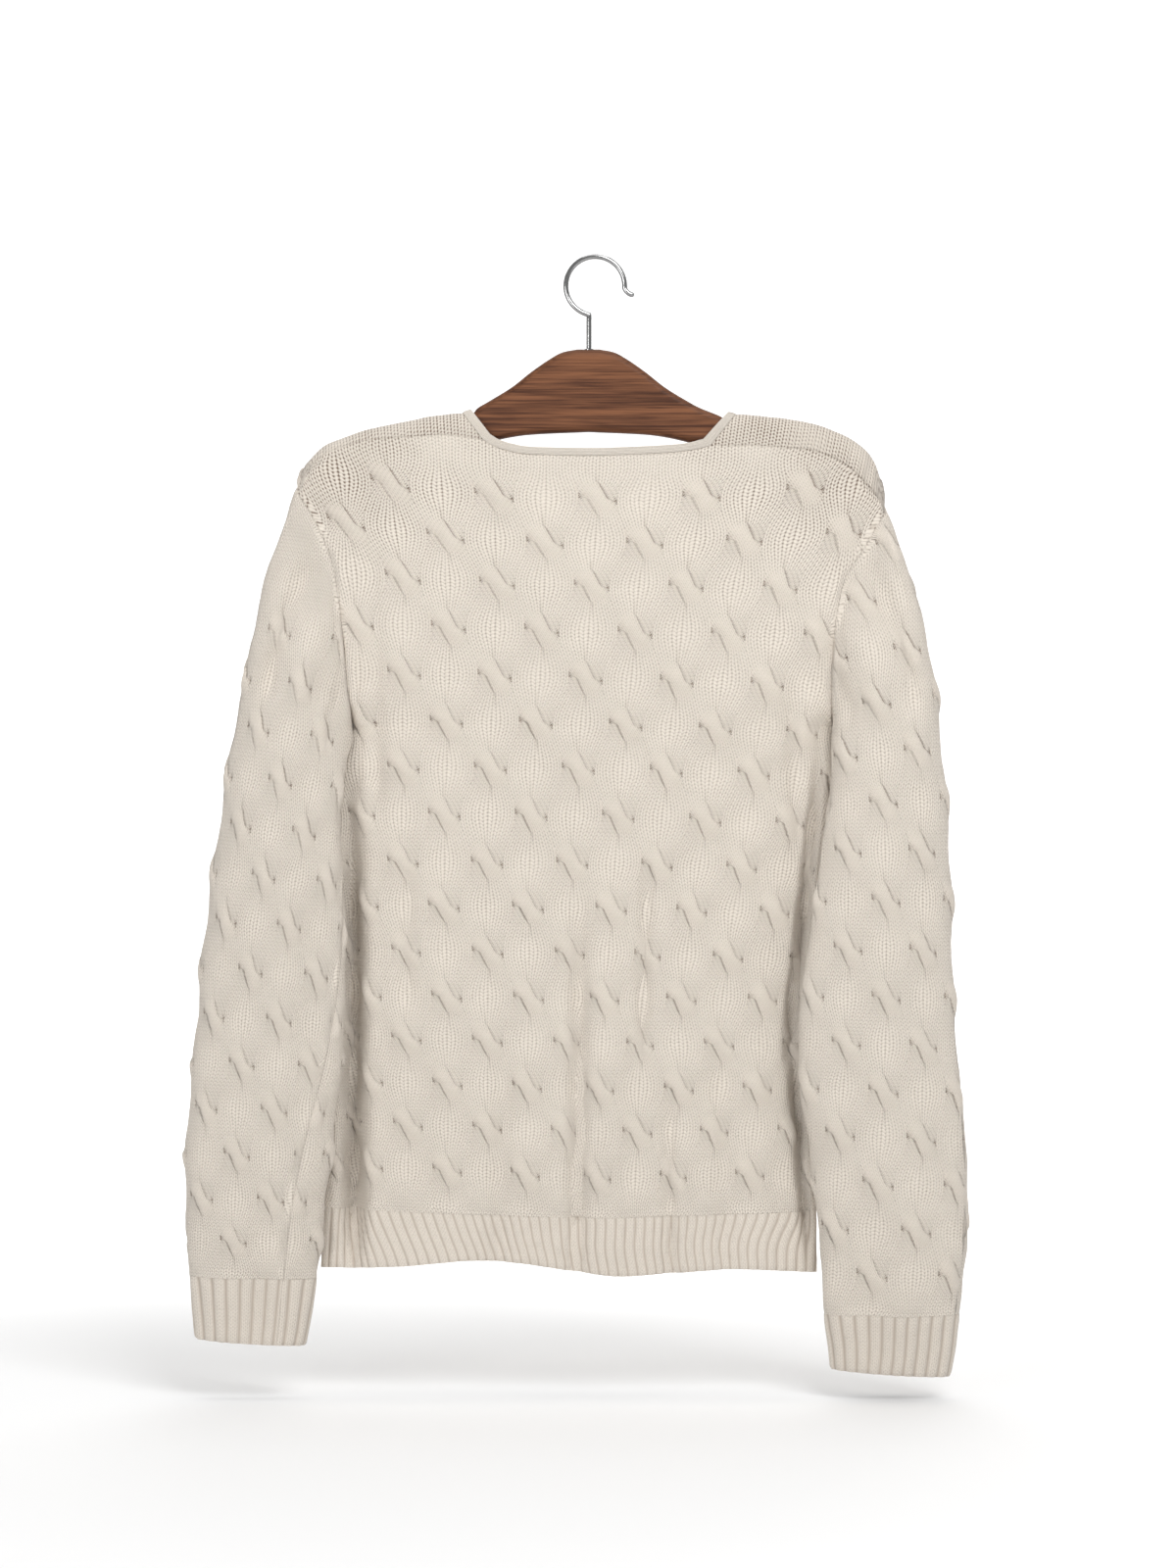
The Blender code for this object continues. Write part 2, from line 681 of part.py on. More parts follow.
def wood(finish):
    """The hanger's body: a flat outline, thick as a board, with rounded edges."""
    out = np.concatenate([WOOD_TOP["out"], WOOD_FOOT["out"][::-1]])
    z = np.concatenate([WOOD_TOP["z"], WOOD_FOOT["z"][::-1]])
    points = [(WOOD_CENTRE_X + a, b) for a, b in zip(out, z)]
    points += [(WOOD_CENTRE_X - a, b) for a, b in zip(out[::-1], z[::-1]) if a > 0]
    curve = bpy.data.curves.new("wood_outline", "CURVE")
    curve.dimensions = "2D"
    curve.fill_mode = "BOTH"
    curve.extrude = (WOOD_THICK / 2 - WOOD_EDGE) * MM
    curve.bevel_depth = WOOD_EDGE * MM
    curve.bevel_resolution = 2
    curve.offset = -WOOD_EDGE * MM
    spline = curve.splines.new("POLY")
    spline.points.add(len(points) - 1)
    spline.use_cyclic_u = True
    for point, (x, y) in zip(spline.points, points):
        point.co = (x * MM, y * MM, 0, 1)
    outline = bpy.data.objects.new("wood_outline", curve)
    outline.rotation_euler = (math.pi / 2, 0, 0)
    bpy.context.scene.collection.objects.link(outline)
    thing = keep(mesh_of(outline), "hanger_wood", finish)
    depth = (SHANK_DEPTH + SEAM_GAP) * 2
    drill(thing, (SHANK_X, 0, WOOD_TOP_Z), HOOK_WIRE / 2 + SEAM_GAP, depth, 16)


def hook(finish):
    """The hook: a shank out of the wood, round over the rail, and its tip turned out."""
    top = HOOK_WIRE / 2
    centre_z = top - HOOK_RADIUS
    foot = WOOD_TOP_Z - SHANK_DEPTH
    points = [(SHANK_X, z) for z in (foot, foot + 12, foot + 24, centre_z - HOOK_RADIUS - 1.5)]
    for degrees in np.linspace(258, -4, 25):
        angle = math.radians(degrees)
        x = HOOK_CENTRE_X + HOOK_RADIUS * math.cos(angle)
        points.append((x, centre_z + HOOK_RADIUS * math.sin(angle)))
    points += [(23.3, -22.6), (25.4, -24.6), (28.2, -25.4)]
    curve = bpy.data.curves.new("hook_wire", "CURVE")
    curve.dimensions = "3D"
    curve.bevel_depth = HOOK_WIRE / 2 * MM
    curve.bevel_resolution = 2
    curve.use_fill_caps = True
    spline = curve.splines.new("POLY")
    spline.points.add(len(points) - 1)
    for point, (x, z) in zip(spline.points, points):
        point.co = (x * MM, 0, z * MM, 1)
    wire = bpy.data.objects.new("hook_wire", curve)
    bpy.context.scene.collection.objects.link(wire)
    keep(mesh_of(wire), "hanger_hook", finish)


def buttons(strip, normals, finish):
    """Turned buttons with four holes, spread down the outer band and lying on it."""
    middle, facing = strip[:, 1], normals[:, 1]
    profile = [(0, 2.0), (4.6, 2.0), (5.5, BUTTON_THICK), (6.8, 2.8), (BUTTON_RADIUS, 1.6), (6.2, 0), (0, 0)]
    lift = KNIT + SEAM_GAP * 2.2
    for number, z in enumerate(np.linspace(FRONT_NECK_Z - 14, -702, BUTTONS), 1):
        place = [np.interp(z, middle[:, 2], middle[:, axis]) for axis in range(3)]
        normal = [np.interp(z, middle[:, 2], facing[:, axis]) for axis in range(3)]
        mesh = bpy.data.meshes.new(f"button_{number}")
        edges = [(i, i + 1) for i in range(len(profile) - 1)]
        mesh.from_pydata([(r * MM, 0, h * MM) for r, h in profile], edges, [])
        thing = keep(mesh, f"button_{number}", finish)
        turn = thing.modifiers.new("turn", "SCREW")
        turn.steps = turn.render_steps = 18
        turn.use_merge_vertices = True
        turn.merge_threshold = WELD
        thing.location = [(p + n * lift) * MM for p, n in zip(place, normal)]
        tilt = math.atan2(normal[2], math.hypot(normal[0], normal[1]))
        thing.rotation_euler = (tilt - math.pi / 2, 0, -math.atan2(normal[0], normal[1]))
        for x, y in ((1, 1), (1, -1), (-1, 1), (-1, -1)):
            drill(thing, (x * HOLE_OUT, y * HOLE_OUT, BUTTON_THICK / 2), HOLE_RADIUS, BUTTON_THICK * 2, 8)


def main():
    for thing in list(bpy.data.objects):
        bpy.data.objects.remove(thing)
    for name in ("cardigan", "cutters"):
        bpy.context.scene.collection.children.link(bpy.data.collections.new(name))

    grids = {"back": back_panel(), "hem_rib_back": hem_rib("back")}
    tubes = {}
    for side, armhole_edge in (("left", 0), ("right", -1)):
        front = front_panel(side)
        grids[f"front_{side}"] = front
        grids[f"hem_rib_front_{side}"] = hem_rib("front", side)
        behind = grids["back"][LOWER_ROWS:, armhole_edge][::-1]
        before = front[LOWER_ROWS:, -1 - armhole_edge][1:-1]
        rings = sleeve_panel(side, np.concatenate([behind, before]))
        tubes[f"sleeve_{side}"] = rings[: 1 - CUFF_RINGS]
        tubes[f"cuff_{side}"] = rings[-CUFF_RINGS:]
    edge = neck_edge()
    grids["neck_trim"] = np.array([neck_seam(grids), edge])
    grids["button_band"] = band(grids, edge)
    skin = {name: (grid, False) for name, grid in grids.items()}
    skin.update({name: (grid, True) for name, grid in tubes.items()})
    normals = shared_normals(skin)

    knit = material("ecru_knit", (0.66, 0.61, 0.54), 0.95)
    rib = material("ecru_rib", (0.60, 0.55, 0.48), 0.95)
    for name, (grid, closed) in skin.items():
        thick, out = (TRIM_KNIT, TRIM_KNIT - KNIT) if name == "neck_trim" else (KNIT, 0)
        ribbed = any(word in name for word in ("rib", "cuff", "band", "trim"))
        cloth(name, grid, normals[name], closed, thick, rib if ribbed else knit, out)
    over = KNIT + SEAM_GAP
    cloth("buttonhole_band", grids["button_band"], normals["button_band"], False, KNIT, rib, over)
    buttons(grids["button_band"], normals["button_band"], material("ecru_button", (0.55, 0.49, 0.40), 0.35))
    wood(material("brown_wood", (0.15, 0.055, 0.021), 0.45))
    hook(material("bright_steel", (0.75, 0.75, 0.74), 0.2, 1.0))


main()
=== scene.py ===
"""The look of a cable-knit cardigan on a wooden hanger, seen from behind.

The cloth is laid out again on the frame's own form, finely enough to carry its knit: staggered
eight-stitch cables, ribs, seams and creases. Lengths are in millimetres until a mesh is made.
"""

import math
from functools import partialmethod

import bmesh
import bpy
import numpy as np
from mathutils import Matrix


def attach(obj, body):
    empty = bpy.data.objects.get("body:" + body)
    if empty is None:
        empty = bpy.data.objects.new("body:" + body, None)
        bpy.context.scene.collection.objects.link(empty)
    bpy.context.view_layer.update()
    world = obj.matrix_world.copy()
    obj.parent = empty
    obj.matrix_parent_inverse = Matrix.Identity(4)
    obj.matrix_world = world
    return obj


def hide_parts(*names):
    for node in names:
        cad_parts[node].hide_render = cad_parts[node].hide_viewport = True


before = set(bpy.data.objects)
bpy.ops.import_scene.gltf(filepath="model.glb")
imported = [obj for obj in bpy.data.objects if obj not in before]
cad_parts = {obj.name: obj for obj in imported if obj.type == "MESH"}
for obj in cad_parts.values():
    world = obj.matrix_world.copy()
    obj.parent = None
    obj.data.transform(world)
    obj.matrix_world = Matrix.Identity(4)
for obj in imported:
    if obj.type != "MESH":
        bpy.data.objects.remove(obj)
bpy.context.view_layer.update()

MM = 0.001
ALL_SIDES = ("first", "last", "start", "end")
SIGN = {"left": -1, "right": 1}

# The cut.
KNIT = 2.5  # the wall of the knit
SEAM_GAP = 0.1
BAND_WIDTH = 30.0
BAND_SPAN = 360.0  # the width of the body whose curve the bands take
OVER_SHOULDER = 10.5  # half the depth of the fold over the hanger
SHOULDER_FALL = 150.0  # below that fold, the cloth reaches its full depth in this height
SIDE_ROUNDING = 2.6
UNDERARM_Z = -334.0
RIB_TOP_Z = -680.0
PINCH = 25.0  # the height over which a seam's direction turns, above the underarm
PINCH_RADIUS = 9.0
PINCH_LEAN = 0.3
CENTRE_X = 4.0  # the centre front, at the neck's height
CENTRE_LEAN = 0.0343
NECK_TOP_Z = -108.7
FRONT_NECK_Z = -199.5
TRIM_WIDTH = 5.5
TRIM_THICK = 3.0

# The buttons, the wood and the hook.
BUTTONS = 6
BUTTON_RADIUS = 7.5
BUTTON_THICK = 3.0
TOP_BUTTON = 14.0  # below the neckline
LAST_BUTTON_Z = -702.0
HOLE_OUT = 1.4
HOLE_RADIUS = 0.8
YARN_RADIUS = 0.42
WOOD_THICK = 12.0
WOOD_EDGE = 5.0
WOOD_CENTRE_X = -4.0
HOOK_WIRE = 3.8
HOOK_RADIUS = 21.0
HOOK_CENTRE_X = 1.0
SHANK_X = -3.5
COLLAR_RADIUS = 3.4
WOOD_TOP_Z = -64.5

# How many faces each grid has: about one each 2 mm.
SHOULDER_COLUMNS = 70
NECK_COLUMNS = 86
LOWER_ROWS = 180
BACK_ROWS = 100
FRONT_ROWS = 100
OVER_ROWS = 10
RIB_ROWS = 24
SLEEVE_ROWS = 300
CUFF_ROWS = 26
BAND_COLUMNS = 16
TRIM_ROWS = 6
INNER_STEP = 5  # the inside of a wall has one point for so many outside

# The knit. Across the wales lengths are in stitches, and along them in courses.
COURSE = 2.55  # a course's height in millimetres
ROW = 13.0  # from one row of cables to the next, half a repeat
ROPE = 8.0  # stitches in a cable, and from one cable to its neighbour
ZONE = 5.3  # from a crossing's middle to its end
PULL = 1.08  # how far a crossing draws its neighbours in
LEAN = 2.6  # how far the front strand swings to either side
STRAND_HALF = 2.2  # half the front strand's width
STRAND_FLARE = 1.8  # how much wider a side of it grows where it leaves the crossing
ROPE_EDGE = 0.9  # the soft edge of a rope
TUCKED = 0.27  # the share of a crossing's half in which the strand still covers the other
CREASE_HALF = 0.2
CREASE_REACH = 2.0  # how far a crease runs out above or below its crossing, as a share of ZONE
CREASE_FULL = 0.6  # the share of ZONE in which it is at its deepest
EYELET_HALF = 0.75
EYELET_UP = 0.14  # how far an eyelet lies from the crossing's middle, as a share of ZONE
RIB_PITCH = 8.0
BAND_PITCH = 5.0
RIB_WIDTH = {"hem": 6.9, "cuff": 9.6}  # a rib's width in millimetres
RIB_FLAT = 0.35  # how high a rib stands at its seam, as a share
RIB_EASE = 5.0  # the distance from the seam over which it rises
TRIM_STITCH = 1.9
TRIM_COURSE = 3.0
BODY_ROWS = (0, 15)  # the first and the last row of cables
FIRST_ROW = {"left": -2, "right": -4}
LAST_ROW = 11
NO_ROWS = (9, -9)
ROW_REACH = 140.0  # where CABLE_ROWS has its left and its right
STRAIGHT_Z = -215.0  # from here down the rows slope evenly, and above they curve
STRAIGHT_FALL = 60.0
COUNT_Z = -400.0  # the wales are counted from the centre front at this height
PLAIN_EDGE = 6.0  # the plain knit along a seam, in millimetres
SLEEVE_LEAST = 72.0  # what a sleeve is taken to measure across, where it is narrower under the seam
CUFF_START = 14  # the ring of a sleeve's table where its cuff starts
CUFF_END = 16
SEAM_WAY = 0.07 * math.pi  # the part of a sleeve's turn that belongs to the cloth over the shoulder

# The finish: plain colours, and painted light and shade that makes one piece of the same yarn lighter or
# darker than another.
YARN = (0.725, 0.66, 0.58)
# The colour of painted shade in the knit's openings, creases and holes, and of its darker seams.
SHADE_AND_SEAM_COLOUR = (0.17, 0.115, 0.078)
# Painted shade: the sleeves a little darker than the body, the left one more.
SLEEVE_SHADE_TONE = {"left": 0.98, "right": 0.99}
# Painted shade: the ribs darker than the body, the cuffs most.
RIB_SHADE_TONE = {"hem": 0.97, "cuff": 0.9}
# Painted light: the neck trim a little lighter than the body.
TRIM_LIGHT_TONE = 1.05
WOOD_LIGHT = (0.20, 0.080, 0.036)
WOOD_DARK = (0.055, 0.019, 0.009)
WOOD_EDGE_TONE = (0.05, 0.018, 0.008)
# Light and dark steel, mixed by noise as fine scuffs and a painted reflection.
STEEL_LIGHT = (0.42, 0.42, 0.42)
STEEL_DARK = (0.22, 0.22, 0.22)
HORN_LIGHT = (0.60, 0.52, 0.41)
HORN_DARK = (0.36, 0.28, 0.20)

# The stage, in metres but for the floor's height.
FLOOR_Z = -812.0
FLOOR_FRONT = -3.0
FLOOR_BACK = 1.2
FLOOR_HALF = 4.0
BACKDROP_RADIUS = 1.5
BACKDROP_TOP = 4.0
FLOOR_GREY = 0.80
BACKDROP_GLOW = 0.42
GLOW_START = 0.15
GLOW_WAY = 0.85
WORLD_LIGHT = 0.45
# Each light: its place and aim, its sides and its power.
STUDIO_LIGHTS = (
    ("key", (0.9, -2.3, 1.5), (0, 0, -0.45), (1.5, 1.5), 58),
    ("fill", (-1.6, -2.6, -0.3), (0, 0, -0.6), (1.2, 1.2), 28),
    ("top", (0.0, 0.1, 2.3), (0, 0, -0.8), (1.8, 1.8), 23),
    ("back", (0.2, 2.0, 0.6), (0, 0, -0.3), (1.6, 1.6), 12),
)
CAMERA_LENS = 96.4
CAMERA_PLACE = (-0.0042, -3.0, -0.3749)


def table(names, *rows):
    """Rows of numbers as one array for each named column."""
    return dict(zip(names.split(), np.array(rows, float).T))


# The body below the underarm, bottom to top: its side edges and its half depth.
SIDES = table(
    "z left right depth",
    (-725, -196, 160, 17),
    (-680, -193.5, 160, 19),
    (-648, -190.5, 160.5, 21),
    (-585, -186, 162, 22.5),
    (-510, -184, 165, 23),
    (-425, -185.5, 169, 23),
    (-385, -185, 171.5, 22.8),
    (-360, -181.5, 173, 22.3),
    (-348, -177.5, 172.7, 22.1),
    (-334, -172, 171, 22),
)

# The armholes, by the share of their rise from the underarm to the shoulder's tip.
ARMHOLE = table(
    "rise left right depth",
    (0, -172, 171, 0),
    (0.05, -172.8, 170, 7),
    (0.2, -176, 169, 11.5),
    (0.38, -178.5, 170.5, 13.5),
    (0.55, -182, 173.5, 13.5),
    (0.72, -187.5, 181, 12.5),
    (0.83, -195, 192, 11.5),
    (0.93, -204, 201, 10),
    (1, -212, 208, 9),
)

# Each shoulder from its tip to the neck: the ridge on the hanger and the seam behind it.
SHOULDERS = {
    "left": table(
        "ridge_x ridge_z seam_x seam_z",
        (-212, -162, -212, -167),
        (-205, -146, -205, -151.5),
        (-193, -134, -192.5, -139.5),
        (-179, -128, -177.5, -134),
        (-164, -122.5, -161, -130),
        (-137, -116.5, -131, -127.5),
        (-114, -112, -104, -126.5),
        (-94, -109.5, -79, -129.5),
    ),
    "right": table(
        "ridge_x ridge_z seam_x seam_z",
        (208, -176, 208, -182),
        (205.5, -158, 203, -172),
        (198, -141, 193.5, -160),
        (186, -130, 180, -147.5),
        (171, -122.5, 161, -138.5),
        (150, -116, 138, -135.5),
        (125, -112.5, 111, -134),
        (101.5, -110.5, 83, -134),
    ),
}

# The ridge's level stretch across the neck, between the two shoulders' own.
NECK_RIDGE = table("x z", (-88, -108.3), (4, NECK_TOP_Z), (96, -109.6))

# The neckline on the back, between the shoulder seams: its free edge and the trim's lower edge.
BACK_NECK = table(
    "edge_x edge_z panel_x panel_z",
    (-74, -125.5, -79, -129.5),
    (-67, -129.7, -70, -134.6),
    (-57, -132.7, -58.5, -138.1),
    (-43, -134.7, -43.5, -140.2),
    (-3.5, -135.5, -3.5, -141),
    (24, -134.8, 24, -140.3),
    (50, -133.5, 50.5, -139),
    (66, -132, 68, -137.3),
    (78, -129, 83, -134),
)

# The free edge of the neck where it crosses each shoulder: on the ridge and at the seam.
NECK_OVER = {
    "left": {"ridge": (-88, -107.3), "seam": (-74, -125.5)},
    "right": {"ridge": (96, -109.0), "seam": (78, -129)},
}

# The hem, by the share of the body's width from its left edge.
HEM = table(
    "share rib_top hem",
    (0, -677, -720),
    (0.16, -679, -718.5),
    (0.32, -681, -714),
    (0.42, -682, -716.5),
    (0.52, -683, -722),
    (0.6, -683, -725),
    (0.7, -682, -723),
    (0.83, -681, -720.5),
    (1, -679, -723.5),
)

# How a fold fades: the steepness of its rise, the height that it starts with, where it has gone, as
# a share of its length, and the steepness of its fall.
BODY_FADE = (2.2, 0, 1.12, 4)
SLEEVE_FADE = (3.5, 0.25, 1.15, 3.5)

# The folds and creases: where each starts and ends, its half width and how far it stands out. The
# last of them shape the recesses beside the sleeves.
FOLDS = {
    "back": table(
        "top_x top_z foot_x foot_z width out",
        (-9, -400, -13, -745, 6.5, -8),
        (39, -405, 34, -570, 5, -5.5),
        (53, -560, 55, -745, 5.5, -5),
        (12, -440, 12, -745, 11, 3),
        (-158, -160, -154, -400, 6, -5),
        (-133, -390, -134, -530, 6, -5),
        (-62, -520, -70, -745, 8, -4),
        (88, -480, 96, -745, 9, -4.5),
        (141, -280, 144, -430, 6, -5),
        (-150, -190, -166, -330, 6, 2.5),
        (-165, -250, -170, -420, 4, -2),
        (152, -200, 160, -330, 6, 2.2),
        (148, -420, 140, -640, 7, -2.2),
        (-100, -560, -104, -745, 7, 1.5),
        (58, -560, 62, -745, 7, 1.5),
        (-36, -600, -40, -745, 6, 1.6),
        (120, -600, 124, -745, 6, 1.6),
        (-150, -560, -162, -745, 8, 2.0),
        (-184, -150, -160, -215, 8, 1.6),
        (182, -165, 158, -225, 8, 1.6),
        (-174, -335, -172, -700, 7.5, -52),
        (163, -335, 139, -560, 3.6, -32),
        (140, -540, 152, -700, 3.6, -26),
    ),
    "front": table(
        "top_x top_z foot_x foot_z width out",
        (-80, -230, -96, -745, 14, -5),
        (-122, -430, -140, -745, 11, -3.5),
        (76, -260, 62, -745, 13, -5),
        (118, -400, 112, -745, 12, -3.5),
        (-150, -190, -166, -330, 6, 2.5),
        (152, -200, 160, -330, 6, 2.2),
        (-46, -320, -60, -745, 8, 1.8),
        (40, -330, 34, -745, 8, -1.8),
        (-110, -250, -112, -520, 9, 1.6),
        (100, -240, 104, -560, 9, 1.6),
        (-174, -345, -173, -720, 11, 24),
        (160, -350, 142, -560, 9, 6),
        (142, -430, 146, -745, 7, -2),
        (-60, -600, -62, -745, 6, 1.6),
        (84, -600, 82, -745, 6, 1.6),
    ),
}

# The sleeves' rings from the armhole to the cuff rib's end: the outer and the inner edge of each,
# half its depth, where its middle lies in depth, and how much of the armhole's curve it keeps.
SLEEVES = {
    "left": table(
        "out_x out_z in_x in_z depth middle armhole",
        (-212, -162, -172, -334, 14, 0, 1),
        (-218.5, -180, -171.6, -337, 15, -2, 0.85),
        (-226, -202, -171.2, -342, 16.5, -6.5, 0.62),
        (-234, -230, -172.5, -349, 18, -12, 0.4),
        (-242, -263, -175.2, -358, 19.5, -15.5, 0.2),
        (-248.5, -300, -178, -371, 21, -17.5, 0.07),
        (-256, -338, -179.5, -388, 22, -18.5, 0),
        (-262.5, -380, -179.5, -410, 23, -19, 0),
        (-269, -426, -178, -440, 23.5, -19.5, 0),
        (-276, -478, -176.5, -482, 23.5, -20, 0),
        (-281, -532, -176.5, -530, 23.5, -20, 0),
        (-286, -586, -179.5, -583, 23.5, -19, 0),
        (-290, -636, -186, -635, 23, -18, 0),
        (-290, -684, -191.5, -683, 21.5, -16.5, 0),
        (-287.5, -724, -197, -726, 19, -15, 0),
        (-286, -747, -200.5, -750, 17, -14.5, 0),
        (-284, -769, -205, -774, 16.5, -14, 0),
    ),
    "right": table(
        "out_x out_z in_x in_z depth middle armhole",
        (208, -176, 171, -334, 14, 0, 1),
        (213.5, -190, 170.2, -337, 15, -2, 0.85),
        (219.5, -208, 169.2, -342, 16.5, -7, 0.62),
        (227, -234, 168.5, -349, 18, -13, 0.4),
        (235.5, -264, 168.3, -359, 19.5, -18, 0.2),
        (241.5, -301, 168, -372, 21, -21.5, 0.07),
        (246, -342, 166.5, -390, 22, -23.5, 0),
        (249.5, -386, 162, -412, 23, -26, 0),
        (252.5, -432, 157.5, -446, 23.5, -28, 0),
        (253.5, -482, 151.5, -488, 23.5, -29.5, 0),
        (255, -536, 145, -540, 23.5, -30, 0),
        (259.5, -590, 146, -592, 23.5, -29, 0),
        (264.5, -642, 153.5, -642, 23, -26, 0),
        (265, -698, 159.5, -698, 21.5, -22, 0),
        (259.5, -751, 163.5, -751, 19, -18, 0),
        (257, -774, 166, -771, 17, -16.5, 0),
        (253, -796, 168, -790.5, 16.5, -16, 0),
    ),
}

# The wood's upper edge, out from its middle to the left and to the right, and its lower edge.
WOOD_TOP = table(
    "left right z",
    (8, 8, -64.5),
    (19, 19, -66.8),
    (29, 29, -72.4),
    (41, 41, -80.8),
    (55, 55, -91.8),
    (71, 71, -101.6),
    (79, 80, -106.4),
    (83.5, 93, -111.6),
    (92, 100, -115.3),
    (114, 114, -117.6),
    (133, 133, -121),
    (148, 148, -124.4),
    (161, 161, -127.6),
    (175, 175, -132.8),
    (186, 186, -139),
    (193, 193, -146),
)
WOOD_FOOT = table(
    "out z",
    (0, -123.5),
    (38, -125.2),
    (56, -127.4),
    (73, -131.3),
    (92, -136.5),
    (133, -147),
    (175, -158.5),
    (188, -161),
    (193.5, -157),
)

# The body's rows of cables: a row's height at the middle, the middle of one rope, the width of two
# ropes, and how much higher the row lies ROW_REACH to the left and to the right.
CABLE_ROWS = table(
    "z row middle pitch left right",
    (-780, 19, -30, 56, 7, 2),
    (-654, 15, -25.2, 56.5, 7, 2),
    (-622, 14, -24.1, 56.8, 6, 1),
    (-591, 13, -23.0, 57.1, 5, 0),
    (-559, 12, -21.8, 57.8, 4, -1),
    (-527, 11, -20.2, 58.3, 2, -1),
    (-495, 10, -18.2, 58.9, 2, -4),
    (-463, 9, -17.4, 59.8, 2, -3),
    (-431, 8, -15.5, 60.5, 1, -4),
    (-397, 7, -13.7, 61.8, 1, -6),
    (-364, 6, -11.1, 62.4, 1, -4),
    (-332, 5, -9.4, 63.7, 2, -6),
    (-300, 4, -5.9, 64.6, 4, -4),
    (-267, 3, -4.0, 66.2, 5, -2),
    (-234, 2, -1.7, 67.1, 6, -1),
    (-204, 1, 0.7, 70.9, 9, 4),
    (-172, 0, 2.7, 73.9, 10, 6),
    (-90, -2.5, 7, 81, 14, 10),
)

# The sleeves' rows of cables: a row's height on the rope nearest the outer fold, where that rope
# lies, the width of two ropes, and how the row falls towards the right.
SLEEVE_CABLES = {
    "left": table(
        "z row rope pitch tilt",
        (-758, 13, -281.6, 51.1, 0),
        (-727, 12, -280.2, 51.1, 0.02),
        (-667, 10, -278.1, 51.1, 0.03),
        (-603, 8, -274.7, 50.4, 0.04),
        (-538, 6, -269.1, 48.3, 0.07),
        (-471, 4, -260.2, 46.2, 0.09),
        (-404, 2, -249.8, 46.2, 0.12),
        (-336, 0, -237.4, 46.2, 0.14),
        (-267, -2, -222.9, 46.2, 0.15),
        (-198, -4, -207.7, 46.2, 0.15),
        (-162, -5, -199.5, 46.2, 0.15),
    ),
    "right": table(
        "z row rope pitch tilt",
        (-785, 13, 220.0, 58.0, 0),
        (-754, 12, 222.8, 58.0, 0.02),
        (-690, 10, 226.9, 58.6, 0.04),
        (-625, 8, 230.4, 58.0, 0.07),
        (-559, 6, 231.8, 55.2, 0.04),
        (-492, 4, 231.8, 54.2, 0.03),
        (-422, 2, 231.1, 53.8, 0),
        (-351, 0, 228.3, 53.8, -0.08),
        (-279, -2, 222.1, 53.8, -0.1),
        (-204, -4, 210.4, 53.8, -0.1),
        (-137, -6, 198.0, 53.8, -0.1),
    ),
}

# How far a sleeve's own seam is turned from its inner edge to its back, by the rings.
TWIST = {
    side: table("ring degrees", *rows)
    for side, rows in (
        ("left", ((0, 0), (8, 0), (9, 14), (10, 27), (12, 52), (13, 58), (14, 60), (16, 60))),
        ("right", ((0, 0), (8, 0), (10, -8), (12, -18), (14, -24), (16, -24))),
    )
}

# Creases of the sleeves, from one ring and angle of the section to another: 0 is the outer fold,
# 90 the back, 180 the inner edge and 270 the front.
SLEEVE_FRONT = (
    (0.8, 285, 4.5, 290, 12, -3.5),
    (4, 250, 10, 262, 16, -3.2),
    (9, 300, 15, 290, 16, -2.9),
    (11, 240, 16, 236, 14, 2.6),
)
SLEEVE_CREASES = {
    "left": table(
        "ring degrees to_ring to_degrees width out",
        (0.6, 66, 5, 56, 9, -5.5),
        (0.8, 92, 4.5, 88, 11, 3.4),
        (1.5, 132, 5, 128, 8, -3),
        (5, 120, 11, 128, 16, -2.6),
        (8, 70, 14, 66, 16, -2.2),
        (12, 100, 16, 96, 12, -2.9),
        (13, 62, 16, 60, 12, 2.4),
        *SLEEVE_FRONT,
    ),
    "right": table(
        "ring degrees to_ring to_degrees width out",
        (0.6, 60, 5, 52, 9, -4.5),
        (0.8, 92, 4.5, 84, 11, 3.2),
        (1.2, 125, 3.6, 118, 10, -2.6),
        (6, 60, 12, 52, 15, -2.6),
        (8, 118, 15, 112, 16, -2.6),
        (12, 84, 16, 80, 12, 2.6),
        *SLEEVE_FRONT,
    ),
}

# How open the knit is, and how much more towards the shoulders: from a height up, and from so far
# to either side.
# The more open the knit, the more painted shade its openings take.
LOOSE_LEAST = 0.28
LOOSE_SLEEVE = 0.3
LOOSE_TRIM = 0.1
# The strips over the shoulders face away from the light: their knit is set this loose so that it takes
# painted shade.
LOOSE_AND_SHADED_OVER = 1.8  # on the strips that come over the shoulders
LOOSE_ABOVE = table("more from_z rise from_x out", (0.67, -270, 110, 30, 90), (0.6, -210, 40, 110, 60))

# The hook's tip, turned out.
HOOK_TIP = table(
    "x z",
    (22.4, -21.6),
    (23.3, -22.9),
    (24.4, -24.0),
    (25.8, -24.9),
    (27.2, -25.3),
    (28.2, -25.4),
    (28.7, -25.4),
)

# A button's profile from its middle over the rim and back under it.
BUTTON_PROFILE = table(
    "radius height",
    (0, 2.0),
    (3.6, 2.0),
    (4.6, 2.15),
    (5.2, 2.7),
    (5.6, 2.95),
    (6.2, BUTTON_THICK),
    (6.9, 2.75),
    (7.35, 2.2),
    (BUTTON_RADIUS, 1.5),
    (7.3, 0.8),
    (6.4, 0.1),
    (5.6, 0),
    (0, 0),
)

# A stitch of yarn from hole to hole, in shares of HOLE_OUT, its height over the button's foot, and
# how far it lies apart from the one that it crosses.
SEWN = table(
    "out height apart",
    (-1, 0.6, 0),
    (-1, 1.7, 0),
    (-0.6, 2.35, 0),
    (0, 2.5, 0.12),
    (0.6, 2.35, 0),
    (1, 1.7, 0),
    (1, 0.6, 0),
)


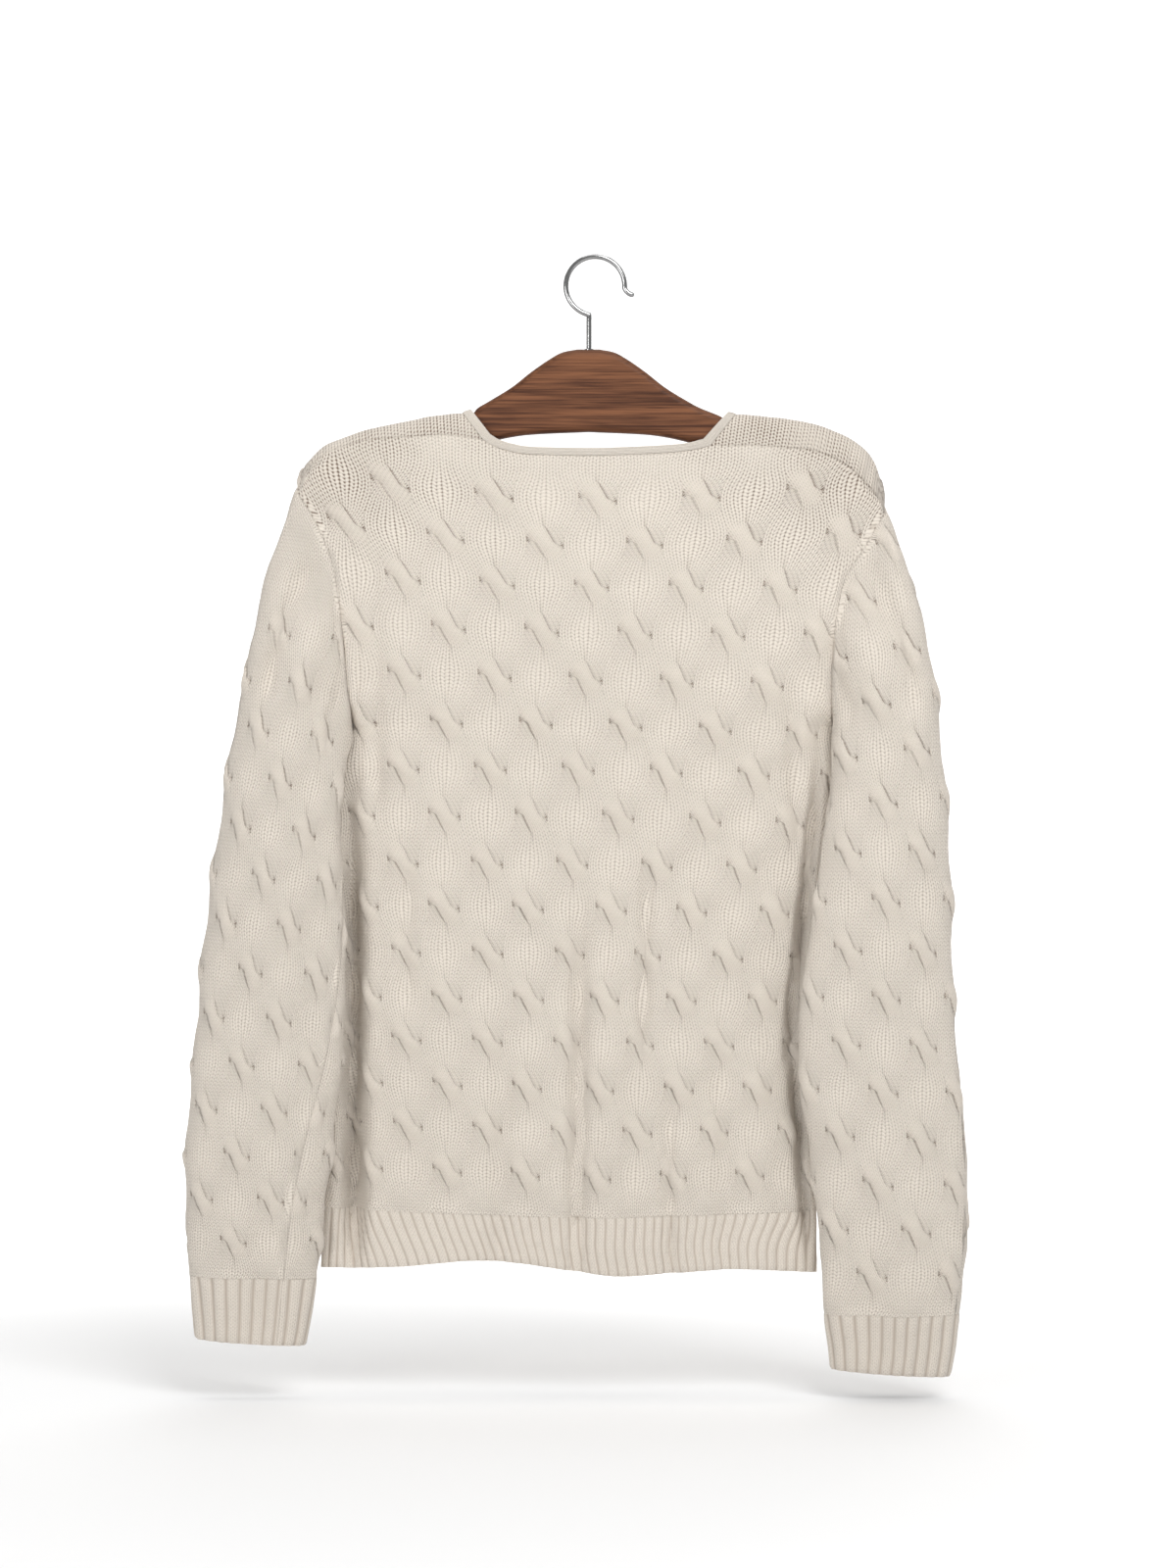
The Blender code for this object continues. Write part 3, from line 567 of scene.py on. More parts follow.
def smooth(keys, values, at):
    """Reads a smooth curve through the points (keys, values); the keys rise."""
    at = np.clip(np.asarray(at, float), keys[0], keys[-1])
    slope = np.gradient(values, keys)
    i = np.clip(np.searchsorted(keys, at) - 1, 0, len(keys) - 2)
    step = keys[i + 1] - keys[i]
    t = (at - keys[i]) / step
    rise = values[i + 1] - values[i]
    start, end = slope[i] * step, slope[i + 1] * step
    return values[i] + t * (start + t * (3 * rise - 2 * start - end + t * (start + end - 2 * rise)))


def read(rows, names, at, key="z"):
    """Columns of a table, where its column of keys has the values at."""
    return [smooth(rows[key], rows[name], at) for name in names.split()]


def by_row(rows, names, at):
    """Columns of a table at places counted in rows, from 0."""
    keys = np.arange(len(rows[names.split()[0]]), dtype=float)
    return [smooth(keys, rows[name], at) for name in names.split()]


def by_share(rows, names, share):
    """Columns of a table at a share, 0 to 1, of the way down its rows."""
    return by_row(rows, names, np.asarray(share) * (len(rows[names.split()[0]]) - 1))


def even(count, last=1.0):
    """The ends of so many even steps, from 0."""
    return np.linspace(0, last, count + 1)


def ease(t):
    t = np.clip(t, 0, 1)
    return t * t * (3 - 2 * t)


def shares(x):
    return (x - x[0]) / (x[-1] - x[0])


def unit(vectors):
    return vectors / np.maximum(np.linalg.norm(vectors, axis=-1), 1e-9)[..., None]


def centre_x(z):
    """The centre front, which hangs a little to the wearer's left at the hem."""
    return CENTRE_X + (z - NECK_TOP_Z) * CENTRE_LEAN


def ridge_z(x):
    """The height of the cloth's ridge on the shoulders, and level across the neck."""
    left, right = SHOULDERS["left"], SHOULDERS["right"]
    keys = np.concatenate([left["ridge_x"], NECK_RIDGE["x"], right["ridge_x"][::-1]])
    heights = np.concatenate([left["ridge_z"], NECK_RIDGE["z"], right["ridge_z"][::-1]])
    return smooth(keys, heights, x)


def below(top, x, z):
    """How far points lie below the ridge's height there, square to its slope."""
    slope = (ridge_z(x + 1) - ridge_z(x - 1)) / 2
    return np.maximum(top - z, 0) / np.sqrt(1 + slope**2)


def fold_over(drop):
    """The half depth of the cloth at a distance below the ridge that it folds over."""
    left = 1 - np.clip(drop / OVER_SHOULDER, 0, 1)
    return OVER_SHOULDER * np.sqrt(1 - left * left)


def hang(x, z):
    """The half depth of the body's middle: the fold over the hanger, then a slow fall outwards."""
    drop = below(ridge_z(x), x, z)
    (full,) = read(SIDES, "depth", z)
    return fold_over(drop) + (full - OVER_SHOULDER) * ease((drop - OVER_SHOULDER) / SHOULDER_FALL)


def folds(rows, names, fade, at, across):
    """How far a table's folds stand out, at a place along them and a place across.

    The names are the columns of a fold's two ends along, its two ends across, its half width and
    its height. Its fade is told as BODY_FADE is.
    """
    steep, height, end, fall = fade
    out = 0
    for first, last, line, to_line, width, peak in zip(*(rows[name] for name in names.split())):
        down = (at - first) / (last - first)
        length = ease(down * steep + height) * ease((end - down) * fall)
        middle = line + (to_line - line) * down
        out = out + peak * length * np.exp(-(((across - middle) / width) ** 2))
    return out


def body_points(face, x, z, share, edge_depth):
    """Points of the body's front or back, at a share of the width between its edges."""
    middle = hang(x, z)
    edge = np.minimum(edge_depth, middle)
    across = np.sqrt(np.maximum(1 - np.abs(2 * share - 1) ** SIDE_ROUNDING, 0))
    near_edge = (1 - across) ** (2 - edge / np.maximum(middle, 0.1))
    out = folds(FOLDS[face], "top_z foot_z top_x foot_x width out", BODY_FADE, z, x)
    depth = middle * across + edge * near_edge + out * across
    side = -1 if face == "back" else 1
    return np.stack(np.broadcast_arrays(x, side * depth, z), axis=-1)


def lower_points(face, share, z):
    """The body below the underarm."""
    left, right = read(SIDES, "left right", z)
    return body_points(face, left + (right - left) * share, z, share, 0 * z)


def armhole_at(rise):
    """The armholes' left and right edge and their half depth, at a share of their rise."""
    return read(ARMHOLE, "left right depth", rise, "rise")


def band_edge(side, z):
    """Where a front's panel meets its band."""
    return centre_x(z) + SIGN[side] * BAND_WIDTH / 2


def front_share(side, across, z):
    """The share of the body's width at a share of one front's, from its side to the band's edge."""
    left, right = read(SIDES, "left right", z)
    band = (band_edge(side, z) - left) / (right - left)
    return band * across if side == "left" else 1 + (band - 1) * across


def rib_heights(share, down):
    """Heights between the hem rib's top (0) and the hem (1)."""
    top, foot = read(HEM, "rib_top hem", share, "share")
    return top + (foot - top) * down


def shoulder_share(x):
    """The share of the width at the height of the shoulders' tips."""
    left, right = ARMHOLE["left"][-1], ARMHOLE["right"][-1]
    return (x - left) / (right - left)


def seam_columns():
    """The back's upper edge from tip to tip: the shoulder seams and the neck trim's lower edge."""
    left, right = (by_share(SHOULDERS[side], "seam_x seam_z", even(SHOULDER_COLUMNS)) for side in SIGN)
    neck = by_share(BACK_NECK, "panel_x panel_z", even(NECK_COLUMNS)[1:-1])
    return [np.concatenate([a, b, c[::-1]]) for a, b, c in zip(left, neck, right)]


def outwards(grid, side):
    """Turns the left side's grids, so that their faces point out as the right side's do."""
    return grid[:, ::-1] if side == "left" else grid


def back_panel():
    """The back, as rows of points from the rib's top up, each from the left edge to the right."""
    top_x, top_z = seam_columns()
    share = shares(top_x)
    rows = []
    for up in even(LOWER_ROWS):
        z = rib_heights(share, 0)
        rows.append(lower_points("back", share, z + (UNDERARM_Z - z) * up))
    for turn in even(BACK_ROWS, math.pi)[1:]:
        rise = (1 - math.cos(turn)) / 2
        left, right, depth = armhole_at(rise)
        z = UNDERARM_Z + (top_z - UNDERARM_Z) * rise
        rows.append(body_points("back", left + (right - left) * share, z, share, depth))
    rows[-1][: SHOULDER_COLUMNS + 1] = over_shoulder(*shoulder_lines("left"), 1)
    rows[-1][-SHOULDER_COLUMNS - 1 :] = over_shoulder(*shoulder_lines("right"), 1)[::-1]
    return np.array(rows)


def front_neck(side, turn, panel=True):
    """The front neckline, a quarter ellipse from the band's edge (0) to the shoulder's ridge (1)."""
    shoulder = SHOULDERS[side]
    ridge = (shoulder["ridge_x"][-1], shoulder["ridge_z"][-1]) if panel else NECK_OVER[side]["ridge"]
    low = FRONT_NECK_Z - TRIM_WIDTH if panel else FRONT_NECK_Z
    start = band_edge(side, low)
    angle = np.sin(np.asarray(turn) * math.pi / 2) * math.pi / 2
    x = start + (ridge[0] - start) * np.sin(angle)
    return x, ridge[1] + (low - ridge[1]) * np.cos(angle)


def over_shoulder(ridge, seam, down):
    """Points from the ridge (0) down the back to the shoulder seam (1)."""
    x, z = (a + (b - a) * (down * down) for a, b in zip(ridge, seam))
    return np.stack([x, -fold_over(below(ridge[1], x, z)), z], axis=-1)


def shoulder_lines(side):
    """The shoulder's ridge and seam, each as x and z from the tip to the neck."""
    k = even(SHOULDER_COLUMNS)
    return [by_share(SHOULDERS[side], f"{line}_x {line}_z", k) for line in ("ridge", "seam")]


def front_panel(side):
    """One front, from the rib's top up its front and over the shoulder to the seam on the back.

    Each row runs from the side seam or armhole to the band or the neck.
    """
    ridge, seam = shoulder_lines(side)
    across = shares(ridge[0])
    rows = []
    for up in even(LOWER_ROWS):
        z = rib_heights(front_share(side, across, RIB_TOP_Z + 0 * across), 0)
        z = z + (UNDERARM_Z - z) * up
        rows.append(lower_points("front", front_share(side, across, z), z))
    for step in even(FRONT_ROWS)[1:]:
        rise = (1 - math.cos(step * math.pi)) / 2
        left, right, depth = armhole_at(rise)
        if step <= 0.5:
            neck_z = UNDERARM_Z + (FRONT_NECK_Z - TRIM_WIDTH - UNDERARM_Z) * step * 2
            neck_x = band_edge(side, neck_z)
        else:
            neck_x, neck_z = front_neck(side, step * 2 - 1)
        neck_rise = (neck_z - UNDERARM_Z) / (ridge[1][-1] - UNDERARM_Z)
        z = UNDERARM_Z + (ridge[1] - UNDERARM_Z) * (rise + (neck_rise - rise) * across)
        edge = left if side == "left" else right
        x = edge + (neck_x - edge) * across
        rows.append(body_points("front", x, z, (x - left) / (right - left), depth))
    rows += [over_shoulder(ridge, seam, down) for down in even(OVER_ROWS)[1:]]
    return outwards(np.array(rows), side)


def neck_edge():
    """The neck trim's free edge, from the left band up over the back and down to the right band."""
    sides = {}
    for side in SIGN:
        x, z = front_neck(side, even(FRONT_ROWS // 2), panel=False)
        front = body_points("front", x, z, shoulder_share(x), 0 * z)
        over = NECK_OVER[side]
        back = [over_shoulder(over["ridge"], over["seam"], down) for down in even(OVER_ROWS)[1:]]
        sides[side] = np.concatenate([front, back])
    x, z = by_share(BACK_NECK, "edge_x edge_z", even(NECK_COLUMNS)[1:-1])
    behind = body_points("back", x, z, shoulder_share(x), 0 * z)
    return np.concatenate([sides["left"], behind, sides["right"][::-1]])


def neck_seam(grids):
    """The panels' own points along the neck trim's seam, in the same order."""
    corner = LOWER_ROWS + FRONT_ROWS // 2
    behind = grids["back"][-1, SHOULDER_COLUMNS + 1 : SHOULDER_COLUMNS + NECK_COLUMNS]
    left, right = grids["front_left"][corner:, 0], grids["front_right"][corner:, -1]
    return np.concatenate([left, behind, right[::-1]])


def hem_rib(face, side=None):
    """A stretch of the hem's rib, from the hem up to its panel."""
    across = shares(seam_columns()[0] if face == "back" else shoulder_lines(side)[0][0])

    def share_at(z):
        return across if face == "back" else front_share(side, across, z)

    rows = []
    for down in even(RIB_ROWS)[::-1]:
        z = rib_heights(share_at(RIB_TOP_Z + 0 * across), down)
        rows.append(lower_points(face, share_at(z), z))
    return outwards(np.array(rows), side)


def sleeve_panel(side, armhole, places):
    """Rings of a sleeve, from the seam under the arm round the front and back to the seam.

    Returns the points and, for each, how far the creases move it.
    """
    rings = SLEEVES[side]
    twist = np.radians(read(TWIST[side], "degrees", places, "ring")[0])
    back = even(BACK_ROWS, math.pi)
    front = np.linspace(math.pi, 2 * math.pi, FRONT_ROWS + 1)[1:]
    over = 2 * math.pi + even(OVER_ROWS, SEAM_WAY)[1:-1]
    turns = np.concatenate([back * (1 - SEAM_WAY / math.pi) + SEAM_WAY, front, over])
    first = np.array([rings["out_x"][0], 0, rings["out_z"][0]])
    last = np.array([rings["in_x"][0], 0, rings["in_z"][0]])
    order = [*range(BACK_ROWS, len(turns)), *range(BACK_ROWS + 1)]
    grid, moves = [], []
    for at, turned in zip(places, twist):
        out_x, out_z, in_x, in_z, depth, middle, kept = by_row(rings, " ".join(rings), at)
        outer, inner = np.array([out_x, middle, out_z]), np.array([in_x, middle, in_z])
        angles = turns - turned
        inwards = (1 - np.cos(angles))[:, None] / 2
        oval = outer + (inner - outer) * inwards
        oval[:, 1] -= depth * np.sin(angles)
        moved = armhole + (outer - first) * (1 - inwards) + (inner - last) * inwards
        grid.append((oval + (moved - oval) * kept)[order])
        names = "ring to_ring degrees to_degrees width out"
        crease = folds(SLEEVE_CREASES[side], names, SLEEVE_FADE, at, np.degrees(angles) % 360)
        moves.append(crease[order])
    return outwards(np.array(grid), side), outwards(np.array(moves), side)


def band(grids, edge):
    """The strip between the fronts' edges, from the hem to the neck's free edge."""
    corner = LOWER_ROWS + FRONT_ROWS // 2 + 1
    sides = []
    for side, at in (("left", 0), ("right", -1)):
        rib, front = grids[f"hem_rib_front_{side}"], grids[f"front_{side}"]
        sides.append(np.concatenate([rib[:-1, at], front[:corner, at], [edge[at]]]))
    left, right = sides
    strip = right[:, None] + (left - right)[:, None] * even(BAND_COLUMNS)[None, :, None]
    share = (strip[..., 0] + BAND_SPAN / 2) / BAND_SPAN
    middle = body_points("front", strip[..., 0], strip[..., 2], share, 0 * share)
    hold = 1 - np.abs(np.linspace(-1, 1, BAND_COLUMNS + 1))[None, :, None] ** 4
    return strip + (middle - strip) * hold


def grid_normals(grid):
    """Outward normals of a grid's points."""
    return unit(np.cross(np.gradient(grid, axis=1), np.gradient(grid, axis=0)))


def shared_normals(skin, tubes):
    """Outward normals of every grid's points, averaged with those of the grids that meet there.

    Towards the underarm a sleeve and the body lie back to back, so over the armhole's last stretch
    the seam's direction turns out of that pinch, to that of a round loop.
    """
    sizes = [grid.shape[0] * grid.shape[1] for grid in skin.values()]
    points = np.concatenate([grid.reshape(-1, 3) for grid in skin.values()])
    own_normals = np.concatenate([grid_normals(grid).reshape(-1, 3) for grid in skin.values()])
    kind = np.concatenate([np.full(size, int(name in tubes)) for name, size in zip(skin, sizes)])
    _, index = np.unique(np.round(points, 3), axis=0, return_inverse=True)
    index = index.reshape(-1)
    total = np.zeros((index.max() + 1, 3))
    kinds = np.zeros((index.max() + 1, 2))
    np.add.at(total, index, own_normals)
    np.add.at(kinds, (index, kind), 1)
    total = unit(total[index])
    armhole = kinds[index].all(axis=1)
    x, y, z = points[armhole].T
    round_y = np.clip(y / PINCH_RADIUS, -1, 1)
    steady = np.stack([np.sign(x) * PINCH_LEAN, round_y, -np.sqrt(1 - round_y**2)], axis=1)
    total[armhole] += (steady - total[armhole]) * np.clip(1 - (z - UNDERARM_Z) / PINCH, 0, 1)[:, None]
    parts = np.split(unit(total), np.cumsum(sizes)[:-1])
    return {name: part.reshape(skin[name].shape) for name, part in zip(skin, parts)}


def steps(grid, axis, flat=False):
    """Distances along a grid's rows or columns from the first point, seen from above if flat."""
    move = np.diff(grid[..., :2] if flat else grid, axis=axis)
    run = np.cumsum(np.linalg.norm(move, axis=-1), axis=axis)
    return np.concatenate([np.zeros_like(np.take(run, [0], axis)), run], axis=axis)


def from_edges(grid, sides=ALL_SIDES):
    """The distance of each point from the nearest of the named sides of its grid."""
    down, along = steps(grid, 0), steps(grid, 1)
    every = {"first": down, "last": down[-1:] - down, "start": along, "end": along[:, -1:] - along}
    return np.min([every[side] for side in sides], axis=0)


def body_knit(grid):
    """The wale and course of each point of the body, with the cables' rows at whole ROWs."""
    z, x = grid[..., 2], grid[..., 0]
    along = steps(grid, 1, flat=True) * np.sign(x[:, -1:] - x[:, :1])
    turn = 1 if x[0, -1] > x[0, 0] else -1
    start = []
    for xs, run in zip(x[:, ::turn], along[:, ::turn]):
        nearest = np.clip(centre_x(COUNT_Z), xs[0], xs[-1])
        start.append(nearest - np.interp(nearest, xs, run))
    across = along + np.array(start)[:, None]
    left, right = read(CABLE_ROWS, "left right", z)
    away = np.abs(x) / ROW_REACH
    straight = ease((STRAIGHT_Z - z) / STRAIGHT_FALL)
    level = z - np.where(x < 0, left, right) * away * (straight + (1 - straight) * away)
    row, middle, pitch = read(CABLE_ROWS, "row middle pitch", level)
    return (across - middle) / pitch * 2 * ROPE, row * ROW


def oval_arc(turn, half, depth):
    """The way round an oval from its outer end to an angle of it, by Simpson's rule."""
    run = 0
    for share, weight in zip(even(16), [1] + [4, 2] * 7 + [4, 1]):
        run = run + weight / 48 * np.hypot(half * np.sin(turn * share), depth * np.cos(turn * share))
    return turn * run


def sleeve_knit(grid, side):
    """The wale and course of each point of a sleeve, laid out from the rope nearest its outer fold.

    Past the inner edge the wales run along the seam under the arm.
    """
    rings, rows, sign = SLEEVES[side], SLEEVE_CABLES[side], -SIGN[side]
    x, z = outwards(grid, side)[..., 0], outwards(grid, side)[..., 2]
    outer, inner = smooth(-rings["out_z"], rings["out_x"], -z), smooth(-rings["in_z"], rings["in_x"], -z)
    depth = smooth(-rings["out_z"], rings["depth"], -z)
    half = np.maximum(np.abs(inner - outer), SLEEVE_LEAST) / 2

    def arc(at):
        return oval_arc(np.arccos(np.clip(1 - (at - outer) * sign / half, -1, 1)), half, depth)

    columns = np.arange(x.shape[1])
    before = np.argmax(x[:, : FRONT_ROWS + 1] * sign, axis=1)[:, None]
    behind = FRONT_ROWS + np.argmax(x[:, FRONT_ROWS:] * sign, axis=1)[:, None]
    run = arc(x)
    past_edge = (columns < before) | (columns > behind)
    run = np.where(past_edge, 2 * oval_arc(math.pi + 0 * x, half, depth) - run, run)
    run = np.where(columns < FRONT_ROWS, -run, run)
    tilt, rope = read(rows, "tilt rope", z)
    row, rope, pitch = read(rows, "row rope pitch", z + tilt * (x - rope))
    wale = sign * (run - arc(rope)) / pitch * 2 * ROPE
    seam = wale[:, :1]
    wale = wale + ease(run / run[:, :1]) * (columns < FRONT_ROWS) * (np.median(seam) - seam)
    return outwards(wale, side), outwards(row * ROW, side)


class Number:
    """A number in a tree of nodes, with which sums can be written down."""

    def __init__(self, socket):
        self.tree = socket.id_data
        self.socket = socket

    def apply(self, operation, *others, clamp=False):
        """What a node makes of this number and others."""
        node = self.tree.nodes.new("ShaderNodeMath")
        node.operation = operation
        node.use_clamp = clamp
        for entry, value in zip(node.inputs, (self, *others)):
            if isinstance(value, Number):
                self.tree.links.new(value.socket, entry)
            else:
                entry.default_value = value
        return Number(node.outputs[0])

    __add__ = __radd__ = partialmethod(apply, "ADD")
    __sub__ = partialmethod(apply, "SUBTRACT")
    __rsub__ = partialmethod(apply, "MULTIPLY_ADD", -1.0)
    __mul__ = __rmul__ = partialmethod(apply, "MULTIPLY")
    __truediv__ = partialmethod(apply, "DIVIDE")
    __pow__ = partialmethod(apply, "POWER")
    __abs__ = partialmethod(apply, "ABSOLUTE")
    clamped = partialmethod(apply, "ADD", 0.0, clamp=True)

    def hump(self):
        """A bell round zero: exp(-x squared)."""
        return (self * self * -1.0).apply("EXPONENT")

    def fraction(self):
        return self - self.apply("FLOOR")

    def mixed(self, other, share):
        return self + (other - self) * share


def cable_rule(wale, course, plain, row, first, last):
    """The cables at a stitch: their height, the stitch's own place in its strand, and where their creases,
    eyelets and loose stitches lie.

    Ropes of eight stitches lie side by side. In every second row of crossings a rope's left half
    passes in front of its right half; its neighbours cross in the rows between.
    """
    rows = course / row
    waves = (rows * math.pi).apply("COSINE")
    pulled = wale + waves * (wale * (math.pi / ROPE)).apply("SINE") * plain * PULL
    rope = (pulled / ROPE).apply("ROUND")
    across = pulled - rope * ROPE
    offset = (rope * 0.5).fraction() * 2.0
    near = ((rows - offset) * 0.5).apply("ROUND") * 2.0 + offset
    real = near.apply("GREATER_THAN", first - 0.5) * near.apply("LESS_THAN", last + 0.5)
    # How far a stitch is from the crossing's middle, down the rope and as a share of its half.
    down = (rows - near) * row / ZONE
    t = down.apply("MAXIMUM", -1.0).apply("MINIMUM", 1.0).mixed(1.0, 1.0 - real)
    lean = t * LEAN
    side = (across - lean).apply("SIGN")
    half = (side * t * 3.4).clamped() * STRAND_FLARE + STRAND_HALF
    off = (across - lean) / half
    far = abs(off)
    to_edge = ROPE / 2 - abs(across)
    strand = (1.0 - off * off).clamped() ** 0.8 * (1.0 - t * t) * (to_edge / ROPE_EDGE).clamped()
    # A crease follows the strand where it covers the other; from row to row the lower one wins.
    covered = (TUCKED - side * t).apply("MULTIPLY", 3.5, clamp=True)
    late = (rows / 5.0).clamped()
    upper = (late * -0.5 + 1.0).mixed(late * 0.5 + 0.5, side * -0.5 + 0.5)
    reach = ((abs(down) - CREASE_REACH) / (CREASE_FULL - CREASE_REACH)).clamped() ** 2.0 * real
    crease = ((far - 1.0) * half / CREASE_HALF).hump() * covered * reach * upper
    hole = (t - across.apply("SIGN") * EYELET_UP) / 0.3
    beside = (to_edge / EYELET_HALF).hump() * real
    swing = t * (3.0 - t * t)
    return {
        "strand": strand,
        "crease": crease,
        "eyelet": beside * (hole * 2.2).hump(),
        "loose": beside * hole.hump(),
        "swell": waves * (pulled * (math.pi / ROPE)).apply("COSINE"),
        "place": (across + swing).mixed(across - swing, far.apply("LESS_THAN", 1.0)),
    }


def relief_tree(name, facts, numbers, rule):
    """A tree that moves each point out by what a rule makes of its facts and of the named numbers.

    Every relief is a little uneven, and sinks where the piece's edge is near.
    """
    tree = bpy.data.node_groups.new(name, "GeometryNodeTree")
    tree.is_modifier = True
    tree.interface.new_socket("Geometry", in_out="OUTPUT", socket_type="NodeSocketGeometry")
    tree.interface.new_socket("Geometry", in_out="INPUT", socket_type="NodeSocketGeometry")
    for label, value in numbers.items():
        socket = tree.interface.new_socket(label, in_out="INPUT", socket_type="NodeSocketFloat")
        socket.default_value = value
    tree.interface.new_socket("Material", in_out="INPUT", socket_type="NodeSocketMaterial")
    entry = tree.nodes.new("NodeGroupInput")
    size = {label: Number(entry.outputs[label]) for label in numbers}
    known = {fact: Number(stored(tree, fact)) for fact in (*facts.split(), "edge", "outer")}
    height, noise_scale, edge_width = rule(known, size)
    uneven = (Number(noise(tree, noise_scale).outputs[0]) - 0.5) * size["Uneven"] * 2.0
    height = height + uneven - (known["edge"] / edge_width).hump() * size["Edge"]
    lift = tree.nodes.new("ShaderNodeVectorMath")
    lift.operation = "SCALE"
    place = tree.nodes.new("GeometryNodeSetPosition")
    real = tree.nodes.new("GeometryNodeRealizeInstances")
    finish = tree.nodes.new("GeometryNodeSetMaterial")
    leave = tree.nodes.new("NodeGroupOutput")
    for start, end in (
        (stored(tree, "facing", "FLOAT_VECTOR"), lift.inputs[0]),
        ((height * known["outer"] * MM).socket, lift.inputs["Scale"]),
        (lift.outputs[0], place.inputs["Offset"]),
        (entry.outputs["Geometry"], place.inputs["Geometry"]),
        (place.outputs[0], real.inputs[0]),
        (real.outputs[0], finish.inputs["Geometry"]),
        (entry.outputs["Material"], finish.inputs["Material"]),
        (finish.outputs[0], leave.inputs[0]),
    ):
        tree.links.new(start, end)
    return tree


def stored(tree, name, kind="FLOAT"):
    """One of the mesh's own attributes, in a geometry tree."""
    node = tree.nodes.new("GeometryNodeInputNamedAttribute")
    node.data_type = kind
    node.inputs["Name"].default_value = name
    return node.outputs["Attribute"]


def noise(tree, scale, detail=2.0):
    node = tree.nodes.new("ShaderNodeTexNoise")
    node.inputs["Scale"].default_value = scale
    node.inputs["Detail"].default_value = detail
    return node


def cable_tree():
    """Raises the cables and swells the knit between them."""

    def rule(known, size):
        limits = (size[label] for label in ("Row courses", "First row", "Last row"))
        cable = cable_rule(known["wale"], known["course"], known["plain"], *limits)
        height = cable["strand"] * size["Strand"] + cable["swell"] * size["Swell"]
        height = height - cable["crease"] * size["Crease"] - cable["eyelet"] * size["Eyelet"]
        return height * known["plain"], 45, 2.0

    sizes = {"Strand": 1.8, "Swell": 1.0, "Crease": 1.3, "Eyelet": 1.6, "Uneven": 0.8, "Edge": 0.5,
             "Row courses": ROW, "First row": BODY_ROWS[0], "Last row": BODY_ROWS[1]}
    return relief_tree("cable_relief", "wale course plain", sizes, rule)


def rib_tree():
    """Raises the ridges of a rib."""

    def rule(known, size):
        wave = (known["wale"] / size["Pitch"] * (2 * math.pi)).apply("COSINE")
        return ((wave * 0.5 + 0.5) ** 0.4 - 0.7) * size["Ridge"] * known["plain"], 60, 1.4

    sizes = {"Ridge": 1.5, "Pitch": RIB_PITCH, "Uneven": 0.5, "Edge": 1.1}
    return relief_tree("rib_relief", "wale plain", sizes, rule)


def stitch_rule(place, course):
    """A knit stitch, two legs of a V: how high it stands, and its openings, within and beside it."""
    side = abs(place.fraction() - 0.5) * 2.0
    leg = ((course + side * 0.5).fraction() * math.pi).apply("SINE")
    parting = abs(side * 2.0 - 1.0)
    height = (leg ** 0.5) * 0.5 + (1.0 - parting * parting * parting) * 0.5
    opening = (1.0 - leg * leg) ** 1.5 * parting ** 1.7
    return height, opening, parting ** 4.0 * side


def own(tree, name):
    """One of the mesh's own attributes, in a material."""
    node = tree.nodes.new("ShaderNodeAttribute")
    node.attribute_name = name
    return Number(node.outputs["Fac"])


def material(name, **settings):
    """A new material, its node tree and its shader, whose inputs are set by name."""
    new = bpy.data.materials.new(name)
    new.use_nodes = True
    shader = new.node_tree.nodes["Principled BSDF"]
    for label, value in settings.items():
        shader.inputs[label.replace("_", " ")].default_value = value
    return new, new.node_tree, shader


def object_noise(tree, scale, detail=2.0, stretch=(1, 1, 1)):
    """Noise in the object's own space, drawn out along its axes."""
    place = tree.nodes.new("ShaderNodeTexCoord")
    mapping = tree.nodes.new("ShaderNodeMapping")
    mapping.inputs["Scale"].default_value = stretch
    node = noise(tree, scale, detail)
    tree.links.new(place.outputs["Object"], mapping.inputs["Vector"])
    tree.links.new(mapping.outputs[0], node.inputs["Vector"])
    return Number(node.outputs[0])


def blend(tree, share, first, second):
    """A colour between two: each a colour or the output of another blend."""
    node = tree.nodes.new("ShaderNodeMix")
    node.data_type = "RGBA"
    tree.links.new(share.socket, node.inputs["Factor"])
    for name, colour in (("A", first), ("B", second)):
        entry = next(i for i in node.inputs if i.name == name and i.type == "RGBA")
        if isinstance(colour, tuple):
            entry.default_value = (*colour, 1)
        else:
            tree.links.new(colour, entry)
    return next(o for o in node.outputs if o.type == "RGBA")


def finished(made, colour, height, strength, distance):
    """Gives a material its colour and its bump, whose depth is in millimetres."""
    new, tree, shader = made
    bump = tree.nodes.new("ShaderNodeBump")
    bump.inputs["Strength"].default_value = strength
    bump.inputs["Distance"].default_value = distance * MM
    tree.links.new(height.socket, bump.inputs["Height"])
    tree.links.new(bump.outputs[0], shader.inputs["Normal"])
    tree.links.new(colour, shader.inputs["Base Color"])
    return new


def yarn(name):
    """A new matt, slightly hairy material."""
    return material(name, Roughness=0.95, Sheen_Weight=0.15, Sheen_Roughness=0.6, Specular_IOR_Level=0.2)


def yarn_colour(tree, dark, light_and_shade_tone):
    """Ecru yarn, a little uneven from fibre to fibre and over the cloth, lighter or darker by its piece's
    painted light and shade, and blended by its mask to the colour of painted shade in its openings, creases
    and holes and of its darker seams.
    """
    light = tuple(c * light_and_shade_tone for c in YARN)
    fibre, cloth_wide = object_noise(tree, 900, 3), object_noise(tree, 22, 2)
    uneven = ((fibre - 0.5) * 0.55 + (cloth_wide - 0.5) * 0.5 + 0.35).clamped()
    base = blend(tree, uneven, light, tuple(c * 0.86 for c in light))
    return blend(tree, dark, base, SHADE_AND_SEAM_COLOUR)


